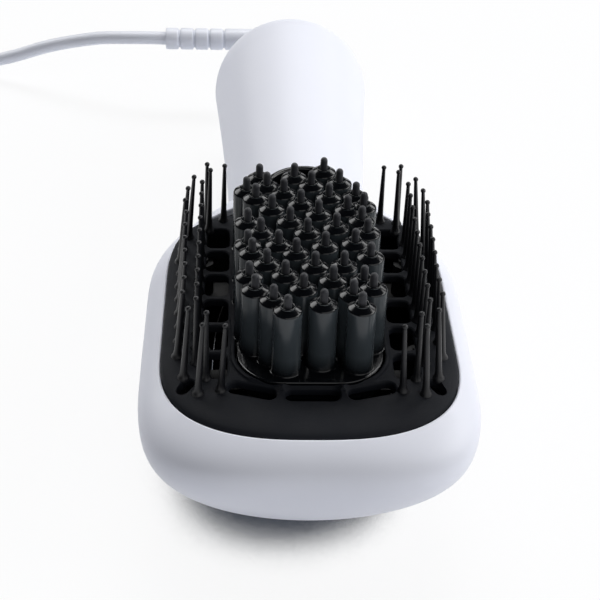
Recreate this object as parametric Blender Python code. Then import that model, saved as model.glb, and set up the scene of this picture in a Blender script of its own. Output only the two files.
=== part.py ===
"""Hot air brush, lying on its back with the bristles up.

A rounded head carries a vented plate with ball-tipped pins and, in its middle, a heated pad of hollow
pillars with a soft tip in each. The round handle holds the air heater, the fan and its motor. Two push
buttons sit on the back, and the cord leaves sideways from an outlet on the tail, which is also where
the air comes in. Sizes are in metres, +Z is up and the head points to -Y. The origin lies on the
supporting surface, under the middle of the brush without its cord.
"""

import math

import bmesh
import bpy
from mathutils import Matrix, Vector

# Head: its widest line, its crown and how its rounded ends fall away
head_width = 0.0784
nose_over_plate = 0.007
straight_front = 0.009
straight_back = 0.018
head_back_length = 0.0435
shoulder_drop = 0.010
crown_over_plate = 0.003
belly_flatten = 0.0004
wall = 0.002
nose_side_power = 3.4
nose_crown_power = 2.5
nose_belly_power = 2.0
head_back_power = 2.7
head_section_power = 2.5
round_section_power = 2.0
blend_power = 8.0

# Handle: a neck that flares to a domed tail
neck_radius = 0.0188
neck_axis_height = 0.0235
neck_reach = 0.060
handle_radius = 0.0246
handle_reach = 0.1405
flare_power = 1.3
dome_length = 0.0215
tail_seam_reach = 0.1535

# Where the stations of the body's loft stand, as shares of each stretch
nose_station_shares = (0.9994, 0.985, 0.93, 0.8, 0.55)
head_station_shares = (0.0, 0.36, 0.56, 0.7, 0.82, 0.93)
neck_station_shares = (0.04, 0.26, 0.52, 0.78)
dome_station_shares = (0.0, 0.28, 0.46)
body_sides = 28

# Gaps between pieces
fit_gap = 0.0003
overrun = 0.002

# Vented plate: seat in the head, curved lip, rim round the pad
plate_width = 0.0682
plate_front_reach = 0.039
plate_back_reach = 0.0485
plate_front_length = 0.030
plate_back_length = 0.0305
plate_front_power = 2.7
plate_back_power = 3.2
plate_height = 0.039
plate_edge_drop = 0.0022
plate_thickness = 0.002
plate_edge_depth = 0.0016
front_lip = 0.0105
side_lip = 0.0034
plate_sides = 40
lip_shares = (0.0, 0.3, 0.65, 1.0)
seat_width = 0.0022
seat_depth = 0.0015
rim_width = 0.0013
rim_rise = 0.0008
rim_crest_share = 0.45
rim_inner_share = 0.6

# Heated pad: base, flange under the plate, pillars and the curved wall behind them
pad_width = 0.0334
pad_front_reach = 0.0230
pad_back_reach = 0.0430
pad_corner = 0.0103
pad_back_corner = 0.0080
pad_rise = 0.0007
pad_flange_width = 0.0018
pad_flange_thickness = 0.0013
pad_gap = 0.0005
pad_edge = 0.0004
corner_steps = 5
pillar_radius = 0.0029
pillar_top_radius = 0.0020
pillar_height = 0.0181
pillar_shoulder = 0.0013
pillar_taper = 0.0001
pillar_sides = 7
bore_radius = 0.0012
bore_sides = 5
end_wall_radius = 0.0104
end_wall_thickness = 0.0016
end_wall_edge = 0.0005
end_wall_centre = 0.0328
end_wall_height = 0.0168
end_wall_half_angle = math.radians(72)
end_wall_steps = 10

# Pillars stand on a slanted lattice; a row is (first, last) along the long step
pillar_start = (-0.0054, -0.0182)
long_step = (0.00297, 0.0079)
cross_step = (0.00400, -0.00545)
pillar_rows = {
    -5: (3, 4),
    -4: (1, 4),
    -3: (0, 5),
    -2: (0, 6),
    -1: (0, 6),
    0: (0, 6),
    1: (1, 6),
    2: (2, 5),
    3: (2, 3),
}
pillar_margin = 0.0025
left_slide_share = 1.3
right_slide_share = 0.3
pillar_field_front = -0.0182
pillar_field_back = 0.0388
pillar_spacing = 0.0059
spread_rounds = 120

# Soft tips on one mat
tip_radius = 0.0009
tip_reach = 0.0033
tip_dome_share = 0.33
tip_sides = 5
mat_thickness = 0.0009

# Pins: two columns on each side, and three or four round each corner
pin_height = 0.0187
pin_foot_radius = 0.0014
pin_foot_height = 0.0013
pin_radius = 0.00075
pin_tip_radius = 0.00046
ball_radius = 0.00064
pin_sides = 5
inner_column_x = 0.0259
inner_front_margin = 0.0236
inner_back_margin = 0.0162
outer_column_x = 0.0302
outer_front_margin = 0.0259
outer_back_margin = 0.0139
inner_lean = 0.0004
outer_lean = 0.0017
outer_bulge = 0.0008
outer_bulge_shares = (0.0, -0.2, -0.2, 0.1, 0.3, 0.5, 0.4, 1.0, 0.4, -1.2)
# Corner pins, foot and tip: how far to the side, and how far in from the plate's edge
front_corner_pins = (
    ((0.0201, 0.0143), (0.0190, 0.0141)),
    ((0.0251, 0.0133), (0.0238, 0.0143)),
    ((0.0235, 0.0182), (0.0231, 0.0186)),
    ((0.0285, 0.0186), (0.0270, 0.0200)),
)
back_corner_pins = (
    ((0.0242, 0.0105), (0.0236, 0.0106)),
    ((0.0205, 0.0058), (0.0201, 0.0085)),
    ((0.0248, 0.0067), (0.0245, 0.0078)),
)
pin_root = 0.0008

# Air vents: six down each side, three in front and one at each front corner
vent_width = 0.0058
vent_bridge = 0.00165
vent_front_margin = 0.0184
vent_back_margin = 0.00985
vent_count = 6
vent_x = 0.0217
vent_corner = 0.0020
front_vent_width = 0.0123
front_vent_length = 0.0041
front_vent_share = 0.194
side_front_vent_x = 0.0132
side_front_vent_share = 0.106
side_front_vent_width = 0.0110
side_front_vent_turn = math.radians(15)
corner_vent_x = 0.0280
corner_vent_margin = 0.0156
corner_vent_width = 0.0028
corner_vent_length = 0.0050
corner_vent_turn = math.radians(30)

# Pad heater stack under the pad
heater_width = 0.026
heater_front = -0.018
heater_back = 0.036
heater_thickness = 0.0045
heater_fin_gap = 0.0016
heater_fin_width = 0.0022
heater_fin_count = 7
insulator_thickness = 0.0006
insulator_margin = 0.0012
bracket_thickness = 0.0020
bracket_width = 0.0140
bracket_arm_width = 0.0070
bracket_arm_reach = 0.0285
bracket_arm_front = -0.0080
bracket_arm_back = 0.0270
bracket_post_radius = 0.0022
bracket_pin_radius = 0.0012
bracket_arm_share = 0.25
fuse_radius = 0.0019
fuse_length = 0.0100
fuse_y = 0.0040
fuse_cap_radius = 0.0012
fuse_cap_length = 0.0030
thermistor_radius = 0.0014
thermistor_length = 0.0032
thermistor_edge = 0.0005
thermistor_y = 0.0200

# Back cover and its screws
cover_share = 0.60
cover_front = -0.026
cover_back = 0.128
cover_top = 0.010
cover_end_length = 0.012
cover_steps = 14
screw_x = 0.0160
screw_front_y = -0.0120
screw_back_y = 0.0330
screw_shaft_radius = 0.0012
screw_head_radius = 0.0024
screw_head_depth = 0.0012
screw_length = 0.0110
screw_recess = 0.0004
screw_slot_width = 0.0006
screw_slot_depth = 0.0005
post_radius = 0.0032
post_foot = 0.0064
post_clearance = 0.0040
web_thickness = 0.0016

# Buttons, bezel and board on the back
bezel_width = 0.0115
bezel_front = 0.0640
bezel_back = 0.0920
bezel_face = 0.0046
bezel_depth = 0.0030
button_radius = 0.0040
button_first_y = 0.0710
button_second_y = 0.0850
button_face = 0.0042
button_flange = 0.0008
button_flange_height = 0.0006
button_stem_radius = 0.0014
button_travel = 0.0008
button_dish = 0.0003
button_dish_share = 0.6
button_rim_share = 0.85
board_width = 0.0190
board_front = 0.0645
board_back = 0.0925
board_thickness = 0.0012
board_gap = 0.0003
switch_width = 0.0060
switch_height = 0.0030
board_rail_width = 0.0016

# Air heater in the neck
sleeve_radius = 0.0122
sleeve_wall = 0.0005
sleeve_front = 0.0600
sleeve_back = 0.0980
sleeve_rise = 0.0030
rib_thickness = 0.0016
rib_front_y = 0.0614
rib_back_y = 0.0955
former_half_width = 0.0098
former_thickness = 0.0008
former_margin = 0.0030
wire_radius = 0.00035
wire_gap = 0.00075
wire_turns = 7
wire_points = 10

# Ion emitter in the back of the head
ion_width = 0.0120
ion_length = 0.0140
ion_depth = 0.0070
ion_y = 0.0420
needle_radius = 0.0004
needle_tip_radius = 0.0001
ion_seat = 0.0004
needle_length = 0.0050

# Motor, its mount and the fan
mount_front = 0.1060
mount_back = 0.1200
mount_wall = 0.0014
mount_gap = 0.0004
mount_hub_wall = 0.0012
vane_count = 6
vane_thickness = 0.0012
vane_twist = math.radians(24)
motor_radius = 0.0100
motor_front = 0.1010
motor_back = 0.1230
motor_edge = 0.0010
shaft_radius = 0.0010
shaft_gap = 0.0003
fan_front = 0.1260
fan_back = 0.1360
fan_hub_radius = 0.0075
fan_tip_gap = 0.0010
blade_count = 8
blade_thickness = 0.0009
blade_twist = math.radians(42)
hub_nose = 0.0025
hub_nose_radius = 0.0038

# Tail cap, its air slots, the filter and the cord outlet
cap_outer_shares = (0.86, 0.68, 0.5)
cap_inner_shares = (0.6, 0.85)
spigot_length = 0.0040
spigot_wall = 0.0014
slot_count = 14
slot_width = 0.0019
slot_inner_radius = 0.0098
slot_outer_radius = 0.0165
filter_thickness = 0.0010
filter_inner_radius = 0.0100
filter_window_count = 10
filter_rim = 0.0016
outlet_length = 0.0245
outlet_radius = 0.0055
outlet_bore = 0.0026
outlet_flange_radius = 0.0082
outlet_flange_thickness = 0.0014
outlet_edge = 0.0012
outlet_axis_inset = 0.0060
elbow_reach = 0.0090
relief_bore = 0.0033

# Strain relief, cord, coil, tie and plug
relief_radius = 0.00375
relief_groove_radius = 0.0031
relief_root_length = 0.0042
relief_reach = 0.0428
relief_segments = 4
relief_segment_length = 0.0052
relief_groove_width = 0.0008
relief_neck_radius = 0.0034
relief_groove_edge = 0.00025
relief_sides = 16
cord_diameter = 0.0046
cord_point_spacing = 0.0046
cord_steps = 24
cord_route = (
    (-0.0428, 0.1805, 0.0246),
    (-0.0480, 0.1805, 0.0246),
    (-0.0560, 0.1816, 0.0240),
    (-0.0680, 0.1846, 0.0221),
    (-0.0850, 0.1900, 0.0164),
    (-0.1030, 0.1953, 0.0085),
    (-0.1190, 0.1990, 0.0043),
    (-0.1320, 0.2000, 0.0034),
    (-0.1430, 0.2000, 0.0034),
)
coil_turns = 4.5
coil_inner_radius = 0.0145
coil_gap = 0.0005
coil_points = 24
coil_tail = 0.0115
coil_centre_x = -0.153
tie_thickness = 0.0008
tie_width = 0.0100
tie_gap = 0.0003
plug_length = 0.0350
plug_width = 0.0280
plug_neck_length = 0.0150
plug_neck_radius = 0.0036
plug_neck_start_radius = 0.0027
plug_length_shares = (0.16, 0.45, 0.95, 1.0)
plug_width_shares = (0.62, 0.98, 1.0, 0.94)
plug_depth_shares = (0.78, 1.0, 1.0, 0.92)
plug_sides = 16
plug_power = 3.0
prong_radius = 0.0020
prong_length = 0.0190
prong_spacing = 0.0190
prong_seat = 0.0030
prong_edge = 0.0007

# How many sides round pieces have
round_sides = 20
small_sides = 12

# Shading of edges, and the unit that printed sizes are given in
smooth_angle = math.radians(35)
flat_angle = math.radians(0.01)
millimetre = 0.001

# Colours and finishes: red, green, blue, roughness, metallic
finishes = {
    "white_shell": (0.80, 0.82, 0.86, 0.32, 0.0),
    "black_matt": (0.012, 0.013, 0.016, 0.55, 0.0),
    "black_gloss": (0.008, 0.010, 0.014, 0.12, 0.0),
    "soft_grey": (0.030, 0.031, 0.036, 0.70, 0.0),
    "cord_grey": (0.56, 0.57, 0.62, 0.50, 0.0),
    "button_grey": (0.45, 0.46, 0.50, 0.40, 0.0),
    "mica": (0.55, 0.47, 0.33, 0.60, 0.0),
    "dark_plastic": (0.05, 0.05, 0.055, 0.50, 0.0),
    "board_green": (0.02, 0.16, 0.06, 0.45, 0.0),
    "steel": (0.60, 0.60, 0.62, 0.30, 1.0),
    "nickel_wire": (0.42, 0.40, 0.38, 0.35, 1.0),
    "alumina": (0.70, 0.68, 0.64, 0.55, 0.0),
    "brass": (0.72, 0.55, 0.28, 0.28, 1.0),
}

# Places worked out from the sizes above
nose_reach = plate_front_reach + nose_over_plate
overall_length = nose_reach + handle_reach + dome_length + outlet_length
head_y = nose_reach - overall_length / 2
outlet_axis_y = handle_reach + dome_length + outlet_length - outlet_axis_inset
dome_centre_height = handle_radius * math.cos(math.pi / body_sides)
widest_height = plate_height - shoulder_drop
crown_height = plate_height + crown_over_plate
plate_underside = plate_height - plate_thickness
plate_edge_height = plate_height - plate_edge_drop
vent_run = plate_back_reach - vent_back_margin + plate_front_reach - vent_front_margin
vent_pitch = (vent_run + vent_bridge) / vent_count
vent_length = vent_pitch - vent_bridge
vent_start = vent_front_margin - plate_front_reach + vent_length / 2
pad_to_edge = plate_front_reach - pad_front_reach
front_vent_y = -pad_front_reach - pad_to_edge * front_vent_share
side_front_vent_y = -pad_front_reach - pad_to_edge * side_front_vent_share
corner_vent_y = corner_vent_margin - plate_front_reach
inner_column_start = inner_front_margin - plate_front_reach
inner_column_end = plate_back_reach - inner_back_margin
outer_column_start = outer_front_margin - plate_front_reach
outer_column_end = plate_back_reach - outer_back_margin
pad_top = plate_height + pad_rise
flange_top = plate_underside - fit_gap
flange_bottom = flange_top - pad_flange_thickness
mat_top = flange_bottom - fit_gap
mat_bottom = mat_top - mat_thickness
heater_top = mat_bottom - fit_gap
heater_bottom = heater_top - heater_thickness
insulator_top = heater_bottom - fit_gap
insulator_bottom = insulator_top - insulator_thickness
bracket_top = insulator_bottom - fit_gap
bracket_bottom = bracket_top - bracket_thickness
post_top = bracket_bottom - post_clearance
sleeve_axis_height = neck_axis_height + sleeve_rise
board_height = sleeve_axis_height - sleeve_radius - board_gap - board_thickness
coil_pitch = cord_diameter + coil_gap
coil_outer_radius = coil_inner_radius + coil_turns * coil_pitch
coil_lift = tie_thickness + tie_gap


def clear_scene():
    for obj in list(bpy.data.objects):
        bpy.data.objects.remove(obj, do_unlink=True)


def finish(name):
    """The material of this name, made the first time it is asked for."""
    known = bpy.data.materials.get(name)
    if known:
        return known
    red, green, blue, roughness, metallic = finishes[name]
    material = bpy.data.materials.new(name)
    material.use_nodes = True
    shader = material.node_tree.nodes["Principled BSDF"]
    shader.inputs["Base Color"].default_value = (red, green, blue, 1)
    shader.inputs["Roughness"].default_value = roughness
    shader.inputs["Metallic"].default_value = metallic
    material.diffuse_color = (red, green, blue, 1)
    return material


def add_object(name, points, faces, look, origin=(0, 0, 0)):
    """A mesh object whose points are given in the world and whose origin is at the given place."""
    mesh = bpy.data.meshes.new(name)
    centre = Vector(origin)
    mesh.from_pydata([Vector(p) - centre for p in points], [], faces)
    mesh.update()
    faces_out(mesh)
    obj = bpy.data.objects.new(name, mesh)
    obj.location = centre
    bpy.context.scene.collection.objects.link(obj)
    if look:
        mesh.materials.append(finish(look))
        mesh.shade_smooth()
        mesh.set_sharp_from_angle(angle=smooth_angle)
    return obj


def faces_out(mesh):
    work = bmesh.new()
    work.from_mesh(mesh)
    sides = [face for face in work.faces if len(face.verts) == 4]
    bmesh.ops.connect_verts_nonplanar(work, angle_limit=flat_angle, faces=sides)
    bmesh.ops.recalc_face_normals(work, faces=work.faces)
    work.to_mesh(mesh)
    work.free()


def guide(obj):
    """Makes an object a cutter or a guide, which is not part of the brush."""
    obj.hide_render = True
    obj.display_type = "WIRE"
    return obj


def combine(obj, other, operation):
    """Adds an exact Boolean with the other object, which becomes a guide."""
    guide(other)
    step = obj.modifiers.new(other.name, "BOOLEAN")
    step.operation = operation
    step.solver = "EXACT"
    step.object = other
    return obj


def cut(obj, other):
    return combine(obj, other, "DIFFERENCE")


def join(obj, other):
    return combine(obj, other, "UNION")


def keep(obj, other):
    return combine(obj, other, "INTERSECT")


def loft(rings, close=True):
    """Points and faces of a skin through rings of equal count, with its two ends filled."""
    count = len(rings[0])
    points = [p for ring in rings for p in ring]
    faces = []
    for level in range(len(rings) - 1):
        low = level * count
        for i in range(count):
            j = (i + 1) % count
            faces.append((low + i, low + j, low + count + j, low + count + i))
    if close:
        faces.append(tuple(range(count)))
        top = (len(rings) - 1) * count
        faces.append(tuple(range(top, top + count)))
    return points, faces


def tube_loft(rings):
    """Points and faces of a skin that runs round and closes on its own first ring."""
    count = len(rings[0])
    points = [p for ring in rings for p in ring]
    faces = []
    for level in range(len(rings)):
        low = level * count
        high = ((level + 1) % len(rings)) * count
        for i in range(count):
            j = (i + 1) % count
            faces.append((low + i, low + j, high + j, high + i))
    return points, faces


def several(solids):
    """One list of points and faces from several separate solids."""
    points, faces = [], []
    for solid_points, solid_faces in solids:
        start = len(points)
        points += solid_points
        faces += [tuple(start + i for i in face) for face in solid_faces]
    return points, faces


def prism(outline, low, high):
    """An upright solid from a plan outline."""
    rings = [[(x, y, z) for x, y in outline] for z in (low, high)]
    return loft(rings)


def box(low, high):
    x0, y0, z0 = low
    x1, y1, z1 = high
    return prism([(x0, y0), (x1, y0), (x1, y1), (x0, y1)], z0, z1)


def circle(radius, sides):
    angles = [2 * math.pi * (i + 0.5) / sides for i in range(sides)]
    return [(radius * math.cos(a), radius * math.sin(a)) for a in angles]


def turned(profile, frame, sides):
    """A solid turned from (along, radius) pairs round the X axis of the frame matrix."""
    rings = [
        [frame @ Vector((along, *spot)) for spot in circle(radius, sides)]
        for along, radius in profile
    ]
    return loft(rings)


def hollow_turned(profile, frame, sides):
    """A ring-shaped solid turned from a closed run of (along, radius) pairs."""
    rings = [
        [frame @ Vector((along, *spot)) for spot in circle(radius, sides)]
        for along, radius in profile
    ]
    return tube_loft(rings)


def along_y(y, height, x=0.0):
    """A frame whose X axis runs along the brush, at a place given from the head's centre."""
    return Matrix.Translation((x, head_y + y, height)) @ Matrix.Rotation(math.pi / 2, 4, "Z")


def along_minus_x(x, y, height):
    return Matrix.Translation((x, head_y + y, height)) @ Matrix.Rotation(math.pi, 4, "Z")


def upward(x, y, height):
    return Matrix.Translation((x, head_y + y, height)) @ Matrix.Rotation(-math.pi / 2, 4, "Y")


def rounded_rectangle(half_x, low_y, high_y, low_corner, high_corner, steps):
    """A plan outline with one radius on its front corners and one on its back corners."""
    spots = []
    corners = (
        (half_x, high_y, high_corner, 0, 1, 1),
        (-half_x, high_y, high_corner, 1, -1, 1),
        (-half_x, low_y, low_corner, 2, -1, -1),
        (half_x, low_y, low_corner, 3, 1, -1),
    )
    for x, y, radius, quarter, side, end in corners:
        centre_x = x - side * radius
        centre_y = y - end * radius
        for i in range(steps + 1):
            angle = (quarter + i / steps) * math.pi / 2
            spots.append((centre_x + radius * math.cos(angle), centre_y + radius * math.sin(angle)))
    return spots


def placed(outline, x, y, turn=0.0):
    """The outline turned, then moved to a place given from the head's centre."""
    c, s = math.cos(turn), math.sin(turn)
    return [(x + c * u - s * v, head_y + y + s * u + c * v) for u, v in outline]


def fall(u, power):
    """How far a rounded end has fallen: 1 at its start, 0 at its tip."""
    if u <= 0:
        return 1.0
    return max(0.0, 1 - u**power) ** (1 / power)


def ease(low, high, y):
    t = min(1.0, max(0.0, (y - low) / (high - low)))
    return t * t * (3 - 2 * t)


def mix(a, b, share):
    return a + (b - a) * share


def handle_radius_at(y):
    share = min(1.0, max(0.0, (y - neck_reach) / (handle_reach - neck_reach)))
    return mix(neck_radius, handle_radius, share**flare_power)


def handle_axis_at(y):
    share = min(1.0, max(0.0, (y - neck_reach) / (handle_reach - neck_reach)))
    return mix(neck_axis_height, dome_centre_height, share)


def body_section(y, inset=0.0):
    """Half width, low, widest and high levels and corner power of the body at a place, all drawn
    in by the inset."""
    nose = (-straight_front - y) / (nose_reach - inset - straight_front)
    tail = (y - handle_reach) / (dome_length - inset)
    back = (y - straight_back) / (head_back_length - inset)
    round_part = math.sqrt(max(0.0, 1 - max(0.0, tail) ** 2))
    radius = (handle_radius_at(y) - inset) * round_part
    axis = handle_axis_at(y)
    head_half = (head_width / 2 - inset) * fall(nose, nose_side_power) * fall(back, head_back_power)
    to_handle = ease(straight_back, neck_reach, y)
    if y < neck_reach:
        half = (head_half**blend_power + radius**blend_power) ** (1 / blend_power)
        if nose > 0:
            half = head_half
    else:
        half = radius
    rise = (crown_height - inset - widest_height) * fall(nose, nose_crown_power)
    drop = (widest_height + belly_flatten - inset) * fall(nose, nose_belly_power)
    low = mix(widest_height - drop, axis - radius, to_handle)
    middle = mix(widest_height, axis, to_handle)
    high = mix(widest_height + rise, axis + radius, to_handle)
    power = mix(head_section_power, round_section_power, to_handle)
    return half, low, middle, high, power


def body_low_at(x, y):
    """The body's underside at a place."""
    half, low, middle, _, power = body_section(y)
    return max(0, middle - (middle - low) * fall(abs(x) / half, power))


def body_ring(y, inset=0.0):
    half, low, middle, high, power = body_section(y, inset)
    ring = []
    for i in range(body_sides):
        angle = 2 * math.pi * (i + 0.5) / body_sides
        c, s = math.cos(angle), math.sin(angle)
        x = half * math.copysign(abs(c) ** (2 / power), c)
        reach = high - middle if s > 0 else middle - low
        z = middle + reach * math.copysign(abs(s) ** (2 / power), s)
        ring.append((x, head_y + y, max(inset, z)))
    return ring


def body_stations(inset, tail_end):
    nose_length = nose_reach - inset - straight_front
    stations = [-straight_front - nose_length * share for share in nose_station_shares]
    head_run = neck_reach + straight_front
    stations += [-straight_front + head_run * share for share in head_station_shares]
    handle_run = handle_reach - neck_reach
    stations += [neck_reach + handle_run * share for share in neck_station_shares]
    stations += [y for y in dome_stations() if y < tail_end]
    return stations + [tail_end]


def dome_stations():
    return [handle_reach + dome_length * share for share in dome_station_shares]


def body_solid(inset=0.0, tail_end=tail_seam_reach):
    return loft([body_ring(y, inset) for y in body_stations(inset, tail_end)])


def plate_half_width(inset):
    return plate_width / 2 - inset


def plate_outline(front_inset, side_inset, grow=0.0):
    """The plate's plan outline: a rounded rectangle with unlike ends, drawn in or grown."""
    half = plate_half_width(side_inset) + grow
    front = plate_front_length - front_inset + grow
    back = plate_back_length - side_inset + grow
    front_start = plate_front_length - plate_front_reach
    back_start = plate_back_reach - plate_back_length
    spots = []
    for i in range(plate_sides):
        angle = 2 * math.pi * (i + 0.5) / plate_sides
        c, s = math.cos(angle), math.sin(angle)
        power = plate_back_power if s > 0 else plate_front_power
        x = half * math.copysign(abs(c) ** (2 / power), c)
        reach = back if s > 0 else front
        start = back_start if s > 0 else front_start
        y = start + reach * math.copysign(abs(s) ** (2 / power), s)
        spots.append((x, head_y + y))
    return spots


def plate_ring(share):
    """A level ring of the plate's lip: share 0 at the edge, 1 where the flat begins."""
    height = plate_edge_height + plate_edge_drop * math.sqrt(1 - (1 - share) ** 2)
    return [(x, y, height) for x, y in plate_outline(front_lip * share, side_lip * share)]


def lattice_spot(i, j):
    x = pillar_start[0] + i * long_step[0] + j * cross_step[0]
    y = pillar_start[1] + i * long_step[1] + j * cross_step[1]
    half = pad_width / 2 - pillar_margin
    over = x - max(-half, min(half, x))
    slide = left_slide_share if over < 0 else right_slide_share
    return Vector((x - over, y + over * slide))


def kept_inside(spot):
    """The spot, moved in to the rounded field that the pillars stand on."""
    half = pad_width / 2 - pillar_margin
    low, high = pillar_field_front, pillar_field_back
    corner = pad_corner - pillar_margin if spot.y < 0 else pad_back_corner - pillar_margin
    centre_x = max(corner - half, min(half - corner, spot.x))
    centre_y = max(low + corner, min(high - corner, spot.y))
    centre = Vector((centre_x, centre_y))
    away = spot - centre
    if away.length <= corner:
        return spot
    return centre + away.normalized() * corner


def pillar_spots():
    """Where the pillars stand: the slanted lattice, kept inside the pad and evenly pushed apart."""
    spots = [
        lattice_spot(i, j)
        for j, (first, last) in sorted(pillar_rows.items())
        for i in range(first, last + 1)
    ]
    spots = [kept_inside(spot) for spot in spots]
    for _ in range(spread_rounds):
        pushes = [Vector((0, 0)) for _ in spots]
        for a, spot in enumerate(spots):
            for b, other in enumerate(spots):
                gap = spot - other
                if a != b and 0 < gap.length < pillar_spacing:
                    pushes[a] += gap.normalized() * (pillar_spacing - gap.length) / 2
        spots = [kept_inside(spot + push) for spot, push in zip(spots, pushes)]
    return spots


def pin_places():
    """Foot and tip of every pin on the +X side."""
    places = []
    steps = len(outer_bulge_shares) - 1
    for k, share in enumerate(outer_bulge_shares):
        y = mix(inner_column_start, inner_column_end, k / steps)
        places.append(((inner_column_x, y), (inner_column_x - inner_lean, y)))
        x = outer_column_x + outer_bulge * share
        y = mix(outer_column_start, outer_column_end, k / steps)
        places.append(((x, y), (x - outer_lean, y)))
    for foot, tip in front_corner_pins:
        places.append(tuple((x, margin - plate_front_reach) for x, margin in (foot, tip)))
    for foot, tip in back_corner_pins:
        places.append(tuple((x, plate_back_reach - margin) for x, margin in (foot, tip)))
    return places


def pin_solid(foot, tip, side):
    """A tapered pin with a flared foot and a ball tip, leaning from its foot to its tip."""
    ball_low = pin_height - 2 * ball_radius
    ball_middle = pin_height - ball_radius
    levels = (
        (-pin_root, pin_foot_radius),
        (pin_foot_height, pin_radius),
        (ball_low, pin_tip_radius),
        (ball_middle, ball_radius),
    )
    rings = []
    for height, radius in levels:
        share = max(0.0, height) / pin_height
        x = side * mix(foot[0], tip[0], share)
        y = mix(foot[1], tip[1], share)
        outline = placed(circle(radius, pin_sides), x, y)
        rings.append([(px, py, plate_height + height) for px, py in outline])
    points, faces = loft(rings)
    apex = len(points)
    points.append((side * tip[0], head_y + tip[1], plate_height + pin_height))
    last = faces.pop()
    faces += [(last[i], last[(i + 1) % len(last)], apex) for i in range(len(last))]
    return points, faces


def vent_outlines():
    """Plan outlines of all the air vents."""
    outlines = []
    half_width, half_length = vent_width / 2, vent_length / 2
    side = rounded_rectangle(half_width, -half_length, half_length, vent_corner, vent_corner, 2)
    front_half = front_vent_length / 2
    front_round = front_half - fit_gap
    middle = rounded_rectangle(
        front_vent_width / 2, -front_half, front_half, front_round, front_round, 2
    )
    slanted = rounded_rectangle(
        side_front_vent_width / 2, -front_half, front_half, front_round, front_round, 2
    )
    corner_half = corner_vent_length / 2
    corner_round = corner_vent_width / 2 - fit_gap
    corner = rounded_rectangle(
        corner_vent_width / 2, -corner_half, corner_half, corner_round, corner_round, 2
    )
    outlines.append(placed(middle, 0, front_vent_y))
    for sign in (-1, 1):
        for k in range(vent_count):
            outlines.append(placed(side, sign * vent_x, vent_start + k * vent_pitch))
        outlines.append(
            placed(slanted, sign * side_front_vent_x, side_front_vent_y, sign * side_front_vent_turn)
        )
        outlines.append(placed(corner, sign * corner_vent_x, corner_vent_y, sign * corner_vent_turn))
    return outlines


def pad_outline(grow):
    """The pad's plan outline about the head's centre, grown by a margin."""
    outline = rounded_rectangle(
        pad_width / 2 + grow,
        -pad_front_reach - grow,
        pad_back_reach + grow,
        pad_corner + grow,
        pad_back_corner + grow,
        corner_steps,
    )
    return placed(outline, 0, 0)


def cover_half_width(y, grow):
    """Half width of the back cover: a share of the body's, rounded at both ends."""
    front = (cover_front + cover_end_length - y) / (cover_end_length + grow)
    back = (y - cover_back + cover_end_length) / (cover_end_length + grow)
    ends = fall(front, 2) * fall(back, 2)
    return (body_section(y)[0] * cover_share + grow) * ends


def cover_outline(grow):
    run = cover_back - cover_front + 2 * grow
    right, left = [], []
    for i in range(cover_steps + 1):
        share = (1 - math.cos(math.pi * i / cover_steps)) / 2
        y = cover_front - grow + run * share
        half = cover_half_width(y, grow)
        if half > fit_gap:
            right.append((half, head_y + y))
            left.append((-half, head_y + y))
    return right + left[::-1]


def screw_places():
    return [
        (side * screw_x, y) for side in (-1, 1) for y in (screw_front_y, screw_back_y)
    ]


def cavity_guide(name):
    """The hollow inside the housing, less the seat, ribs, posts and webs that stand in it."""
    hollow = guide(add_object(name, *body_solid(wall, tail_seam_reach + overrun), None))
    seat_low = plate_edge_height - plate_edge_depth - fit_gap - seat_depth
    seat_rings = [
        [(x, y, seat_low + level) for x, y in plate_outline(0, 0, grow)]
        for level, grow in (
            (0, 2 * seat_width),
            (0, -seat_width),
            (seat_depth + overrun, -seat_width),
            (seat_depth + overrun, 2 * seat_width),
        )
    ]
    cut(hollow, add_object(name + "_seat", *tube_loft(seat_rings), None))
    for tag, y in (("front", rib_front_y), ("back", rib_back_y)):
        cut(hollow, add_object(name + "_rib_" + tag, *rib_solid(y), None))
    return hollow


def post_solids():
    """Screw posts and the webs that tie them to the shell's sides."""
    posts, webs = [], []
    half = web_thickness / 2
    low = cover_top + fit_gap
    for x, y in screw_places():
        levels = ((post_foot, post_radius), (post_top, post_radius))
        posts.append(turned(levels, upward(x, y, 0), small_sides))
        side = math.copysign(1, x)
        low_x, high_x = sorted((x + side * post_radius / 2, side * head_width / 2))
        start, end = (low_x, head_y + y - half, low), (high_x, head_y + y + half, post_top - half)
        webs.append(box(start, end))
    return posts, webs


def rib_solid(y):
    """A wall across the neck with a round hole for the heater's sleeve."""
    half = head_width / 2
    hole = sleeve_radius + fit_gap
    profile = (
        (0, hole),
        (rib_thickness, hole),
        (rib_thickness, half),
        (0, half),
    )
    return hollow_turned(profile, along_y(y, sleeve_axis_height), round_sides)


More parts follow.
